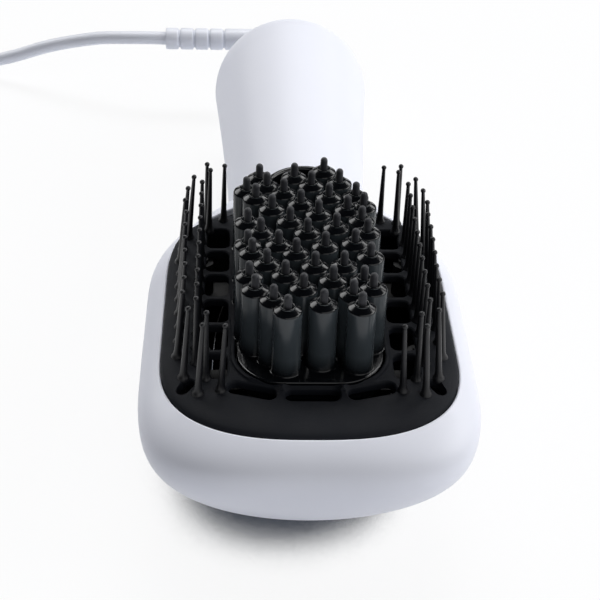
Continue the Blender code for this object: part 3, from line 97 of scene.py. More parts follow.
# %% Colour and node helpers
def linear(hex_colour):
    values = [int(hex_colour[i : i + 2], 16) / 255 for i in (1, 3, 5)]
    turned_values = [v / 12.92 if v <= 0.04045 else ((v + 0.055) / 1.055) ** 2.4 for v in values]
    return (*turned_values, 1)


def shader_inputs(material):
    return material.node_tree.nodes["Principled BSDF"].inputs


def new_material(name, colour, roughness, metallic=0.0):
    material = bpy.data.materials.new(name)
    material.use_nodes = True
    shader_inputs(material)["Base Color"].default_value = linear(colour)
    shader_inputs(material)["Roughness"].default_value = roughness
    shader_inputs(material)["Metallic"].default_value = metallic
    return material


def wire(material, source, target):
    material.node_tree.links.new(source, target)


def add_node(material, kind, inputs=None, **settings):
    """A node with its settings. An input gets a value, or a link where another node's output is given."""
    node = material.node_tree.nodes.new("ShaderNode" + kind)
    for name, value in settings.items():
        setattr(node, name, value)
    for name, value in (inputs or {}).items():
        if isinstance(value, bpy.types.NodeSocket):
            wire(material, value, node.inputs[name])
        else:
            node.inputs[name].default_value = value
    return node


# %% [markdown]
# Moulded plastic is never one flat value. Its colour drifts by a percent or two, its gloss varies where the
# tool was polished, and its skin has a faint grain. One recipe covers all of them, with the real grain size
# in millimetres and how deep it is.

# %% The recipe for a moulded or drawn skin
def grained(name, colour, second, roughness, second_roughness, grain_mm, depth, metallic=0.0, drift_mm=9.0):
    """A material whose colour and gloss drift slowly, with a fine grain in its surface."""
    material = new_material(name, colour, roughness, metallic)
    place = add_node(material, "TexCoord").outputs["Object"]
    drift_inputs = {"Scale": 1000 / drift_mm, "Detail": 3.0, "Vector": place}
    drift = add_node(material, "TexNoise", drift_inputs).outputs["Fac"]
    colours = {"Factor": drift, "A": linear(colour), "B": linear(second)}
    tint = add_node(material, "Mix", colours, data_type="RGBA")
    gloss = add_node(
        material,
        "MapRange",
        {"Value": drift, "From Min": 0.3, "From Max": 0.7, "To Min": roughness, "To Max": second_roughness},
    )
    grain_inputs = {"Scale": 1000 / grain_mm, "Detail": 4.0, "Vector": place}
    grain = add_node(material, "TexNoise", grain_inputs).outputs["Fac"]
    bump_inputs = {"Strength": depth, "Distance": grain_mm / 4000, "Height": grain}
    bump = add_node(material, "Bump", bump_inputs)
    wire(material, tint.outputs["Result"], shader_inputs(material)["Base Color"])
    wire(material, gloss.outputs["Result"], shader_inputs(material)["Roughness"])
    wire(material, bump.outputs["Normal"], shader_inputs(material)["Normal"])
    return material


# %% [markdown]
# The shell is injection-moulded ABS in a cool white, polished to a satin gloss, so lights show in it as soft
# wide streaks. Its inside faces, and the edges of the window for the back cover, are coloured near black:
# that is painted shade, which keeps the vents black.

# %% White shell, and its inside painted black as shade
white_abs = grained("satin_white_abs", "#EEF0F9", "#EBEDF7", 0.40, 0.46, 0.5, 0.02, drift_mm=25.0)
shader_inputs(white_abs)["Specular IOR Level"].default_value = 0.4
# Near black for inside faces and cut edges: painted shade, not the shell's own colour.
painted_shade_inside = grained("black_inside_painted_shade", "#0D0E10", "#131417", 0.55, 0.7, 0.4, 0.3)

# %% [markdown]
# The plate is glass-filled nylon with an eroded, fine-textured surface: black, nearly matt, with a grain of a
# few tenths of a millimetre that breaks up the light along the curved lip. Such a texture swallows most of
# the highlight, so its specular level is low. The pins are the same nylon from a smoother tool.

# %% Plate and pins
plate_nylon = grained("textured_black_nylon", "#0A0D14", "#0D1119", 0.64, 0.72, 0.35, 0.35)
shader_inputs(plate_nylon)["Specular IOR Level"].default_value = 0.22
pin_nylon = grained("satin_black_nylon", "#0D0E12", "#121318", 0.34, 0.44, 0.3, 0.15)

# %% [markdown]
# The pad is glossy black PBT, a plastic that stands the heat. Its tops are polished and black. The long walls
# of the pillars have a grey painted into their colour, a painted reflection of the room in front, which fades
# to black near their feet as painted shade, so their colour goes by how far the surface faces up and how high
# it is. The tips are soft silicone: matt, dark grey, with a bloom that lifts their edges.

# %% Pad and tips
gloss_pbt = grained("glossy_black_pbt", "#07080B", "#0A0C10", 0.14, 0.20, 1.2, 0.03)
pbt_painted_wall_reflection = grained("black_pbt_painted_wall_reflection", "#07080B", "#0A0C10", 0.14, 0.20, 1.2, 0.03)
shader_inputs(pbt_painted_wall_reflection)["Specular IOR Level"].default_value = 0.4
# The grey on the walls is a painted reflection, and its fade near the feet is painted shade.
facing = add_node(pbt_painted_wall_reflection, "NewGeometry").outputs["Normal"]
place = add_node(pbt_painted_wall_reflection, "TexCoord").outputs["Object"]
upward_share = add_node(pbt_painted_wall_reflection, "SeparateXYZ", {"Vector": facing}).outputs["Z"]
height = add_node(pbt_painted_wall_reflection, "SeparateXYZ", {"Vector": place}).outputs["Z"]
on_wall = add_node(pbt_painted_wall_reflection, "MapRange", {"Value": upward_share, "From Min": 0.55, "From Max": 0.15})
clear_of_painted_foot_shade = add_node(pbt_painted_wall_reflection, "MapRange", {"Value": height, "From Min": 0.0400, "From Max": 0.0445})
both = {0: on_wall.outputs["Result"], 1: clear_of_painted_foot_shade.outputs["Result"]}
painted_reflection_share = add_node(pbt_painted_wall_reflection, "Math", both, operation="MULTIPLY").outputs["Value"]
base_colour = shader_inputs(pbt_painted_wall_reflection)["Base Color"]
colours = {"Factor": painted_reflection_share, "A": base_colour.links[0].from_socket, "B": linear("#3B4145")}
painted_reflection_tint = add_node(pbt_painted_wall_reflection, "Mix", colours, data_type="RGBA")
wire(pbt_painted_wall_reflection, painted_reflection_tint.outputs["Result"], base_colour)
tip_silicone = grained("soft_grey_silicone", "#1F2026", "#25272D", 0.55, 0.66, 0.25, 0.3)
shader_inputs(tip_silicone)["Sheen Weight"].default_value = 0.15

# %% [markdown]
# The cord and its strain relief are soft PVC in a cool pale grey, extruded, so the skin is smooth with a
# faint orange-peel. The keys are a slightly darker grey than the shell. The strap is matt black nylon.

# %% Cord, keys and strap
cord_pvc = grained("pale_grey_pvc", "#E6E8F0", "#E1E4ED", 0.38, 0.46, 0.6, 0.1)
key_abs = grained("satin_grey_abs", "#B9BDC8", "#B3B7C3", 0.34, 0.42, 0.5, 0.12)
tie_black = grained("black_strap_nylon", "#17181B", "#202226", 0.6, 0.75, 0.5, 0.5)

# %% [markdown]
# The inner pieces show only through the vents and slots, but each has its own finish: pressed mica, the
# motor's drawn steel, heating wire, dark ceramic, the board's green mask. The mica and the heating wire are
# coloured near black as painted shade, so they stay dark behind the vents.

# %% Inner finishes
# Mica and wire are near black here: painted shade for the dark inside of the head.
mica_painted_dark = grained("pressed_mica_painted_dark", "#1C1914", "#26221B", 0.6, 0.7, 1.5, 0.3, drift_mm=3.0)
plain_steel = grained("drawn_steel", "#9A9CA0", "#A6A8AC", 0.26, 0.36, 0.3, 0.15, metallic=1.0)
wire_painted_dark = grained("nickel_chromium_painted_dark", "#1F1D1B", "#2B2826", 0.6, 0.7, 0.2, 0.2)
alumina = grained("dark_sintered_alumina", "#3A3836", "#444240", 0.6, 0.7, 0.3, 0.2)
board_mask = grained("board_solder_mask", "#0F4A2A", "#13552F", 0.35, 0.45, 0.6, 0.1)
pin_brass = grained("nickelled_brass", "#C9B27A", "#D2BD88", 0.2, 0.28, 0.4, 0.08, metallic=1.0)
dark_pa = grained("dark_glass_filled_nylon", "#1E1F22", "#26272B", 0.5, 0.62, 0.4, 0.3)
filter_mesh = grained("woven_filter", "#101113", "#2A2B2E", 0.7, 0.85, 0.8, 1.0, drift_mm=0.6)
print(len(bpy.data.materials), "materials")

# %% [markdown]
# Nearly every moulded piece here is a stack of outlines. A flat grid is added and rolled up: its rows become
# the outlines and its columns run from one outline to the next. Where an outline shrinks to a point the
# doubled points are merged, so the pole is closed, and an end that is still open is filled.

# %% Rolling a grid up into a shape
def alone(obj):
    bpy.ops.object.select_all(action="DESELECT")
    obj.select_set(True)
    bpy.context.view_layer.objects.active = obj


def opened():
    """Opens the active mesh in edit mode, with all of it selected."""
    bpy.ops.object.mode_set(mode="EDIT")
    bpy.ops.mesh.select_all(action="SELECT")


def closed_up():
    """Turns every face of the open edit mesh outwards and leaves edit mode."""
    bpy.ops.mesh.select_all(action="SELECT")
    bpy.ops.mesh.normals_make_consistent(inside=False)
    bpy.ops.object.mode_set(mode="OBJECT")
    return bpy.context.object


def rolled(rings, loop=False):
    """A grid rolled up through rings of equal count. A loop joins its last ring to its first."""
    around, levels = len(rings[0]), len(rings)
    rows = levels if loop else levels - 1
    obj = added(bpy.ops.mesh.primitive_grid_add, x_subdivisions=around, y_subdivisions=rows)
    places = np.array([[tuple(p) for p in ring] for ring in rings], float)
    row = np.arange(rows + 1) % levels
    column = np.arange(around + 1) % around
    obj.data.vertices.foreach_set("co", places[row][:, column].reshape(-1))
    opened()
    bpy.ops.mesh.remove_doubles(threshold=1e-7)
    if not loop:
        bpy.ops.mesh.fill_holes(sides=0)
    return closed_up()


def ring_at(outline, height):
    return [(x, y, height) for x, y in outline]


def prism(outline, low, high):
    """A filled circle whose points are moved onto an outline, extruded upwards."""
    obj = added(bpy.ops.mesh.primitive_circle_add, vertices=len(outline), fill_type="NGON")
    obj.data.vertices.foreach_set("co", [c for x, y in outline for c in (x, y, low)])
    opened()
    bpy.ops.mesh.extrude_region_move(TRANSFORM_OT_translate={"value": (0, 0, high - low)})
    return closed_up()


# %% [markdown]
# Holes and openings are Boolean cuts, applied at once. The cutter is deleted afterwards, and a cutter that
# has a material leaves it on the faces that it cut.

# %% Cutting and finishing
def coated(obj, material):
    if material:
        obj.data.materials.append(material)
    return obj


def carve(obj, cutter, cut_material=None, operation="DIFFERENCE"):
    coated(cutter, cut_material)
    alone(obj)
    cut = obj.modifiers.new("cut", "BOOLEAN")
    cut.operation = operation
    cut.solver = "EXACT"
    cut.object = cutter
    cut.material_mode = "TRANSFER"
    bpy.ops.object.modifier_apply(modifier=cut.name)
    bpy.data.objects.remove(cutter)


def settled(obj, name, material, slot, *replaced, body="brush", angle=35):
    """Names the piece, gives it its finish, and makes it ride on its body."""
    alone(obj)
    bpy.ops.object.transform_apply(location=True, rotation=True, scale=True)
    obj.name = name
    obj.data.name = name
    if material and not obj.data.materials:
        obj.data.materials.append(material)
    bpy.ops.object.shade_smooth_by_angle(angle=math.radians(angle))
    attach(obj, body)
    if replaced:
        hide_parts(*replaced)
    print(name, len(obj.data.polygons), "faces")
    return obj


# %% [markdown]
# Most small pieces are round: pins, pillars, screws, keys. Each starts as a circle that is extruded along its
# axis and scaled at each step of a profile, as on a lathe drawing: how far along, how far out. A frame says
# where the finished piece lies and which way it points.

# %% Turned shapes
def along_minus_x(x, y, height):
    return Matrix.Translation((x, head_y + y, height)) @ Matrix.Rotation(-math.pi / 2, 4, "Y")


def upward(x, y):
    return Matrix.Translation((x, head_y + y, 0))


def turned(profile, place, sides=48, loop=False):
    """A circle extruded and scaled through a profile of (along, radius). A loop joins its two ends."""
    speck = 1e-6
    steps = [(along, max(radius, speck)) for along, radius in profile]
    obj = added(bpy.ops.mesh.primitive_circle_add, vertices=sides, radius=steps[0][1])
    opened()
    bpy.ops.transform.translate(value=(0, 0, steps[0][0]))
    for (before, was), (along, radius) in zip(steps, steps[1:]):
        bpy.ops.mesh.extrude_region_move(TRANSFORM_OT_translate={"value": (0, 0, along - before)})
        ratio = radius / was
        bpy.ops.transform.resize(value=(ratio, ratio, 1), center_override=(0, 0, along))
    bpy.ops.mesh.select_all(action="SELECT")
    bpy.ops.mesh.remove_doubles(threshold=3 * speck)
    bpy.ops.mesh.select_all(action="DESELECT")
    bpy.ops.mesh.select_non_manifold()
    if loop:
        bpy.ops.mesh.bridge_edge_loops()
    else:
        bpy.ops.mesh.select_all(action="SELECT")
        bpy.ops.mesh.fill_holes(sides=0)
    closed_up()
    obj.data.transform(place)
    return obj


def fillet(along, radius, size, start, end, steps=5):
    """Profile points on a quarter or other arc about (along, radius), from one angle to another."""
    points = []
    for i in range(steps + 1):
        angle = math.radians(start + (end - start) * i / steps)
        points.append((along + size * math.cos(angle), radius + size * math.sin(angle)))
    return points


# %% [markdown]
# The cord is settled before the looks. It leaves the tail sideways through the strain relief, sinks to the
# table in one slack curve, and the length that is not in the picture is wound into a neat two-layer coil held
# by a strap, with the plug beside it. The route is the same as in the CAD model. So is the height of the
# tail's axis: the CAD model's tail has 28 sides and lies on one of them.

# %% The cord's route
cord_diameter = 0.0046
outlet_y = 0.1805
tail_radius = 0.0246
tail_axis = tail_radius * math.cos(math.pi / 28)
elbow_reach = 0.0090
relief_end = 0.0428
cord_route = [
    (-0.0428, 0.1805, 0.0246),
    (-0.0480, 0.1805, 0.0246),
    (-0.0560, 0.1816, 0.0240),
    (-0.0680, 0.1846, 0.0221),
    (-0.0850, 0.1900, 0.0164),
    (-0.1030, 0.1953, 0.0085),
    (-0.1190, 0.1990, 0.0043),
    (-0.1320, 0.2000, 0.0034),
    (-0.1430, 0.2000, 0.0034),
]
coil_turns = 4.5
coil_inner = 0.0145
coil_pitch = 0.0051
coil_outer = coil_inner + coil_turns * coil_pitch
coil_x = -0.153
coil_y = head_y + 0.2000 - coil_outer
coil_floor = 0.0011
coil_low = coil_floor + cord_diameter / 2
coil_tail = 0.0115


def clamped(value):
    return min(1.0, max(0.0, value))


def smooth_through(knots, spacing):
    """Evenly spaced points on a smooth curve that passes through every knot."""
    knots = [Vector(p) for p in knots]
    ends = [2 * knots[0] - knots[1]] + knots + [2 * knots[-1] - knots[-2]]
    dense = []
    for i in range(1, len(ends) - 2):
        a, b, c, d = ends[i - 1 : i + 3]
        for k in range(24):
            t = k / 24
            bend = (2 * a - 5 * b + 4 * c - d) * t**2 + (3 * b - a - 3 * c + d) * t**3
            dense.append(0.5 * (2 * b + (c - a) * t + bend))
    dense.append(knots[-1])
    lengths = [0.0]
    for p, q in zip(dense, dense[1:]):
        lengths.append(lengths[-1] + (q - p).length)
    count = max(2, round(lengths[-1] / spacing))
    points, k = [], 0
    for i in range(count + 1):
        target = lengths[-1] * i / count
        while k < len(dense) - 2 and lengths[k + 1] < target:
            k += 1
        points.append(dense[k].lerp(dense[k + 1], (target - lengths[k]) / (lengths[k + 1] - lengths[k])))
    return points


def coil_points(per_turn):
    """In along the lower layer, up at the smallest turn, and out again along the upper one."""
    middle = math.pi / 2 + 2 * math.pi * coil_turns
    points = []
    for i in range(round(2 * coil_turns * per_turn) + 1):
        angle = math.pi / 2 + 2 * math.pi * i / per_turn
        away = angle - middle
        radius = coil_inner + coil_pitch * abs(away) / (2 * math.pi)
        x = coil_x + radius * math.cos(angle)
        y = coil_y + radius * math.sin(angle)
        points.append(Vector((x, y, coil_low + coil_pitch * clamped(away / math.pi + 0.5))))
    return points


free_cord = smooth_through([(x, head_y + y, z) for x, y, z in cord_route], 0.0035)
free_cord[0] = Vector((-relief_end + 0.002, head_y + outlet_y, tail_axis))
wound = coil_points(36)
plug_start = wound[-1] - Vector((coil_tail, 0, 0))
cord_points = free_cord + wound + [wound[-1].lerp(plug_start, 0.5), plug_start]

curve = bpy.data.curves.new("mains_lead", "CURVE")
curve.dimensions = "3D"
curve.bevel_depth = cord_diameter / 2
curve.bevel_resolution = 5
curve.use_fill_caps = True
line = curve.splines.new("POLY")
line.points.add(len(cord_points) - 1)
for spot, point in zip(line.points, cord_points):
    spot.co = (*point, 1)
line.use_smooth = True
lead = bpy.data.objects.new("mains_lead", curve)
bpy.context.scene.collection.objects.link(lead)
curve.materials.append(cord_pvc)
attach(lead, "brush")
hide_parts("mains_cord", "cord_coil")

# %% [markdown]
# The strain relief is a ribbed sleeve: a smooth root in the elbow, then four segments with grooves between
# them that let it bend. It turns with the swivel, so it rides on that body.

# %% Strain relief
relief_radius = 0.00375
segment = 0.0052
groove = 0.0008
relief_root = 0.0030
rounding = 0.0004
first_segment = relief_end - (4 * segment - groove)
relief_start = elbow_reach - 0.0042
profile = [(relief_start, 0.0), (relief_start, relief_root), (elbow_reach + 0.0003, relief_root)]
profile += fillet(elbow_reach + 0.0008, relief_radius - 0.0005, 0.0005, 180, 90, 3)
profile += fillet(first_segment - groove - rounding, relief_radius - rounding, rounding, 90, 20, 3)
for k in range(4):
    low = first_segment + k * segment
    high = low + segment - groove
    profile += [(low - groove + 0.0002, relief_root), (low - 0.0002, relief_root)]
    profile += fillet(low + rounding, relief_radius - rounding, rounding, 160, 90, 3)
    profile += fillet(high - rounding, relief_radius - rounding, rounding, 90, 20, 3)
profile += [(relief_end, 0.0028), (relief_end - 0.0002, 0.0)]
outlet_line = along_minus_x(0, outlet_y, tail_axis)
relief = turned(profile, outlet_line, 40)
settled(relief, "ribbed_relief", cord_pvc, "cord_grey", "strain_relief", body="cord_swivel")

# %% [markdown]
# The plug is a soft moulded body that swells from a thin neck, with a waist to grip it by and two round pins
# whose upper halves are sleeved. It lies beside the coil on its flat side. Each station says how far along it
# is, how wide and how deep the plug is there, and how square.

# %% Plug and pins
def circle_steps(count):
    """Cosine and sine at even steps round a circle, half a step off the axes."""
    angles = [2 * math.pi * (i + 0.5) / count for i in range(count)]
    return [(math.cos(angle), math.sin(angle)) for angle in angles]


def squared(value, power):
    """A cosine or sine for a rounded box: a power of 2 leaves the circle, a higher one is squarer."""
    return math.copysign(abs(value) ** (2 / power), value)


plug_half_depth = plug_start.z
plug_place = along_minus_x(plug_start.x - 0.0003, plug_start.y - head_y, plug_start.z)
stations = [
    (0.0000, 0.0027, 0.0027, 2.0),
    (0.0040, 0.0030, 0.0030, 2.0),
    (0.0120, 0.0034, 0.0034, 2.0),
    (0.0160, 0.0046, 0.0042, 2.1),
    (0.0185, 0.0072, 0.0058, 2.5),
    (0.0215, 0.0098, 0.0071, 2.8),
    (0.0260, 0.0122, 0.0080, 3.0),
    (0.0310, 0.0128, 0.0082, 3.0),
    (0.0350, 0.0122, 0.0079, 3.0),
    (0.0400, 0.0130, 0.0083, 3.0),
    (0.0450, 0.0138, plug_half_depth - 0.0001, 3.0),
    (0.0482, 0.0139, plug_half_depth - 0.0001, 3.2),
    (0.0495, 0.0135, plug_half_depth - 0.0005, 3.2),
    (0.0500, 0.0126, plug_half_depth - 0.0013, 3.2),
]
rings = []
for along, wide, deep, power in stations:
    box = [(deep * squared(c, power), wide * squared(s, power), along) for c, s in circle_steps(56)]
    rings.append([plug_place @ Vector(point) for point in box])
plug_parts = [settled(rolled(rings), "moulded_plug", cord_pvc, "cord_grey", "mains_plug")]
pin_root, sleeve_end, pin_end = 0.0480, 0.0590, 0.0672
sleeve_radius, pin_radius = 0.0019, 0.00195
for word, side in (("left", 1), ("right", -1)):
    spot = plug_place @ Matrix.Translation((0, side * 0.0095, 0))
    profile = [(pin_root, 0.0), (pin_root, sleeve_radius), (sleeve_end, sleeve_radius), (sleeve_end, 0.0)]
    plug_parts.append(settled(turned(profile, spot, 28), "pin_sleeve_" + word, tie_black, "dark_plastic"))
    profile = [(sleeve_end, 0.0), (sleeve_end, pin_radius), (pin_end, pin_radius)]
    tip = turned(profile + fillet(pin_end, 0.0, pin_radius, 90, 0, 6), spot, 28)
    plug_parts.append(settled(tip, "plug_pin_end_" + word, pin_brass, "plug_brass", "plug_pin_" + word))

# %% [markdown]
# A hook-and-loop strap holds the coil. It starts as a block as big as the bundle. The block's four long edges
# are bevelled, its two open ends are deleted, and Solidify gives the skin that is left a strap's thickness.
# Faces and edges are picked by where they lie, in object mode, and edit mode is opened on what was picked.

# %% Strap round the coil
def pick(kind, test):
    """Selects just the faces, edges or points of the active mesh that pass a test, in edit mode."""
    mesh = bpy.context.object.data
    bpy.ops.object.mode_set(mode="EDIT")
    bpy.ops.mesh.select_mode(type=kind)
    bpy.ops.mesh.select_all(action="DESELECT")
    bpy.ops.object.mode_set(mode="OBJECT")
    for item in {"FACE": mesh.polygons, "EDGE": mesh.edges, "VERT": mesh.vertices}[kind]:
        item.select = test(item)
    bpy.ops.object.mode_set(mode="EDIT")


strap_thickness = 0.0008
strap_width = 0.0100
strap_slack = 0.0003
near = coil_inner - coil_pitch / 2 - cord_diameter / 2 - strap_slack
far = coil_outer + cord_diameter / 2 + strap_slack
strap_low = strap_thickness
strap_top = coil_floor + coil_pitch + cord_diameter + strap_slack
strap = added(
    bpy.ops.mesh.primitive_cube_add,
    size=1,
    location=(coil_x, coil_y - (near + far) / 2, (strap_low + strap_top) / 2),
    scale=(strap_width, far - near, strap_top - strap_low),
)
bpy.ops.object.transform_apply(location=True, rotation=True, scale=True)


def is_long(edge):
    first, second = (strap.data.vertices[i].co.x for i in edge.vertices)
    return abs(first - second) > strap_width / 2


pick("FACE", lambda face: abs(face.normal.x) > 0.9)
bpy.ops.mesh.delete(type="ONLY_FACE")
pick("EDGE", is_long)
bpy.ops.mesh.bevel(offset=0.0010, segments=5)
bpy.ops.object.mode_set(mode="OBJECT")
skin = strap.modifiers.new("thickness", "SOLIDIFY")
skin.thickness = strap_thickness
skin.offset = 1
bpy.ops.object.modifier_apply(modifier=skin.name)
settled(strap, "coil_strap", tie_black, "dark_plastic", "cord_tie")

# %% [markdown]
# The shell's shape is one family of cross-sections from the nose of the head to the dome of the tail. Each is
# a rounded box whose half width, lowest, widest and highest levels follow the length. The same sizes as in
# the CAD model are used, with many more sections, so the curves are smooth. Only under the nose the corners
# are drawn in by a millimetre or two more than there, as the picture shows them rounder.

# %% The body's cross-sections
front_start = -0.009
nose_reach = 0.046
back_start = 0.018
back_reach = 0.0435
neck_end = 0.060
handle_reach = 0.1405
seam_reach = 0.1535
dome_length = 0.0215
head_half = 0.0392
widest_level = 0.029
crown_rise = 0.013
belly_drop = 0.0294
neck_radius = 0.0188
neck_axis = 0.0235
wall = 0.002


def fall(u, power):
    """Falls from 1 to 0 as u goes from 0 to 1, round a corner that is squarer the higher the power."""
    return 1.0 if u <= 0 else max(0.0, 1 - u**power) ** (1 / power)


def ease(low, high, y):
    t = clamped((y - low) / (high - low))
    return t * t * (3 - 2 * t)


def mix(a, b, share):
    return a + (b - a) * share


def section(y, inset=0.0):
    """Half width, low, widest and high levels, and how square the corners are above and below the widest."""
    nose = (front_start - y) / (nose_reach - inset + front_start)
    back = (y - back_start) / (back_reach - inset)
    tail = (y - handle_reach) / (dome_length - inset)
    to_tail = clamped((y - neck_end) / (handle_reach - neck_end))
    to_handle = ease(back_start, neck_end, y)
    head = (head_half - inset) * fall(nose, 3.4) * fall(back, 2.7)
    radius = (mix(neck_radius, tail_radius, to_tail**1.3) - inset) * math.sqrt(1 - clamped(tail) ** 2)
    axis = mix(neck_axis, tail_axis, to_tail)
    half = (head**8 + radius**8) ** (1 / 8) if y < neck_end else radius
    if nose > 0:
        half = head
    low = mix(widest_level - (belly_drop - inset) * fall(nose, 1.87), axis - radius, to_handle)
    middle = mix(widest_level, axis, to_handle)
    high = mix(widest_level + (crown_rise - inset) * fall(nose, 2.5), axis + radius, to_handle)
    lower_power = 2.5 - 0.65 * clamped(nose)
    return half, low, middle, high, mix(2.5, 2.0, to_handle), mix(lower_power, 2.0, to_handle)


def section_ring(y, inset=0.0, around=112):
    half, low, middle, high, above, below = section(y, inset)
    ring = []
    for c, s in circle_steps(around):
        power, reach = (above, high - middle) if s > 0 else (below, middle - low)
        z = middle + reach * squared(s, power)
        ring.append((half * squared(c, power), head_y + y, max(inset, z)))
    return ring


def body_stations(inset, fine):
    """Where the sections stand. They are closest at the nose, where the body turns in fastest."""
    nose = nose_reach - inset + front_start
    count = round(22 * fine)
    turns = [math.sin((1 - i / count) * math.pi / 2) for i in range(count)]
    stations = [front_start - nose * min(0.99995, turn ** (2 / 3.4)) for turn in turns]
    runs = ((front_start, neck_end, 44), (neck_end, handle_reach, 22), (handle_reach, seam_reach, 8))
    for low, high, steps in runs:
        count = round(steps * fine)
        stations += [low + (high - low) * i / count for i in range(count)]
    return stations


def body(inset, fine, end, around=112):
    return rolled([section_ring(y, inset, around) for y in body_stations(inset, fine) + [end]])


# %% [markdown]
# Outlines in plan: the plate is a rounded rectangle with unlike ends, and the pad a rounded rectangle with
# large front corners. The pad's outline is sampled along the same rays as the plate's, so that the two can be
# joined by a flat ring without twisting.

# %% Plan outlines of plate and pad
plate_count = 192
plate_half = 0.0341
plate_front_reach = 0.0300
plate_back_reach = 0.0305
pad_half = 0.0167
pad_front, pad_back = -0.0230, 0.0430
front_corner, back_corner = 0.0103, 0.0080
centre_y = 0.010


def plate_outline(front_inset, side_inset, grow=0.0, count=plate_count):
    spots = []
    for c, s in circle_steps(count):
        if s > 0:
            power, start, reach = 3.2, back_start, plate_back_reach - side_inset
        else:
            power, start, reach = 2.7, front_start, plate_front_reach - front_inset
        x = (plate_half - side_inset + grow) * squared(c, power)
        spots.append((x, head_y + start + (reach + grow) * squared(s, power)))
    return spots


def in_pad(x, y, grow):
    corner = (front_corner if y < centre_y else back_corner) + grow
    dx = max(0.0, abs(x) - (pad_half + grow - corner))
    dy = max(0.0, y - (pad_back + grow - corner), (pad_front - grow + corner) - y)
    return math.hypot(dx, dy) < corner if dx and dy else dx < corner and dy < corner


def pad_outline(grow):
    """The pad's edge, found along each ray from the pad's middle by halving."""
    spots = []
    for x, y in plate_outline(0, 0):
        way = Vector((x, y - head_y - centre_y)).normalized()
        low, high = 0.0, 0.06
        for _ in range(30):
            middle = (low + high) / 2
            if in_pad(way.x * middle, centre_y + way.y * middle, grow):
                low = middle
            else:
                high = middle
        spots.append((way.x * low, head_y + centre_y + way.y * low))
    return spots


# %% [markdown]
# The shell: the outer body, less the same body drawn in by the wall, less the opening that the plate sits in
# and the window for the back cover. The cutters of the hollow and of the window carry a near black, so the
# inside and the window's edge come out dark: painted shade.

# %% The white shell
cover_front = -0.026
cover_back = 0.128
cover_round = 0.012


def cover_outline(grow):
    """The back cover's edge: three fifths of the body's width, round at both ends."""
    right = []
    for i in range(61):
        share = (1 - math.cos(math.pi * i / 60)) / 2
        y = cover_front - grow + (cover_back - cover_front + 2 * grow) * share
        front = (cover_front + cover_round - y) / (cover_round + grow)
        back = (y - cover_back + cover_round) / (cover_round + grow)
        half = (section(y)[0] * 0.60 + grow) * fall(front, 2) * fall(back, 2)
        if half > 0.0003:
            right.append((half, head_y + y))
    return right + [(-x, y) for x, y in reversed(right)]


shell = coated(body(0.0, 1.0, seam_reach), white_abs)
carve(shell, body(wall, 0.5, seam_reach + 0.002, 64), painted_shade_inside)
seat = 0.0349
edge_radius = 0.00045
opening_grow = 0.0003 + edge_radius
carve(shell, prism(plate_outline(0, 0, opening_grow), seat, 0.046), white_abs)
carve(shell, prism(cover_outline(0.0), -0.002, 0.010), painted_shade_inside)
settled(shell, "shell", None, "white_shell", "main_housing")

# %% [markdown]
# Where the shell meets the plate its edge is rolled over, which the eye reads as a hair-thin bright line. The
# opening was cut a little wide, and a fine bead fills its corner: each of its circles touches the shell from
# below, at the cut, and curves down to the plate's gap.

# %% The rolled edge of the shell
def shell_point(x, y):
    half, _, middle, high, power, _ = section(y - head_y)
    return Vector((x, y, middle + (high - middle) * fall(abs(x) / half, power)))


edge_count = 240
step = 0.0002
inner_edge = plate_outline(0, 0, opening_grow, edge_count)
outer_edge = plate_outline(0, 0, opening_grow + step, edge_count)
rings = [[] for _ in range(12)]
for i, ((x, y), (ox, oy)) in enumerate(zip(inner_edge, outer_edge)):
    touch = shell_point(x, y)
    outward = (shell_point(ox, oy) - touch).normalized()
    (ax, ay), (bx, by) = inner_edge[i - 1], inner_edge[(i + 1) % edge_count]
    run = (shell_point(bx, by) - shell_point(ax, ay)).normalized()
    normal = outward.cross(run)
    normal = normal if normal.z > 0 else -normal
    normal.normalize()
    centre = touch - normal * edge_radius
    for k, ring in enumerate(rings):
        angle = 2 * math.pi * k / len(rings)
        ring.append(centre + (outward * math.cos(angle) + normal * math.sin(angle)) * edge_radius)
settled(rolled(rings, loop=True), "shell_rolled_edge", white_abs, "white_shell", angle=80)

# %% [markdown]
# The back cover is the same body again, kept only inside the cover's outline, so it follows the shell's
# curve exactly and a fine gap shows where they meet. It has an opening for the frame of the buttons and four
# stepped pockets for its screws.

# %% The back cover
def stadium(half_width, low, high):
    spots = []
    for turn, end in ((0, high - half_width), (1, low + half_width)):
        for i in range(13):
            angle = math.pi * (turn + i / 12)
            spots.append((half_width * math.cos(angle), head_y + end + half_width * math.sin(angle)))
    return spots


def underside(x, y):
    half, low, middle, _, _, power = section(y)
    return max(0.0, middle - (middle - low) * fall(abs(x) / half, power))


screw_spots = {
    "left_front": (-0.0160, -0.0120),
    "left_back": (-0.0160, 0.0330),
    "right_front": (0.0160, -0.0120),
    "right_back": (0.0160, 0.0330),
}
cover = coated(body(0.0, 0.8, seam_reach), white_abs)
# The cover's inside, and its edge along the gap, take the near black of painted shade.
carve(cover, body(wall, 0.5, seam_reach + 0.002, 64), painted_shade_inside)
carve(cover, prism(cover_outline(-0.0003), -0.002, 0.0097), painted_shade_inside, "INTERSECT")
carve(cover, prism(stadium(0.00605, 0.0637, 0.0923), -0.002, 0.012), white_abs)
for x, y in screw_spots.values():
    ledge = underside(x, y) + 0.0019
    profile = [(-0.002, 0.0027), (ledge, 0.0027), (ledge, 0.0015), (0.008, 0.0015)]
    carve(cover, turned(profile, upward(x, y), 32), white_abs)
settled(cover, "cover_shell", None, "white_shell", "back_cover")

# %% [markdown]
# Four pan-head screws with a cross recess sit in pockets of the cover. The head is turned, and two slots
# crossed make the recess.

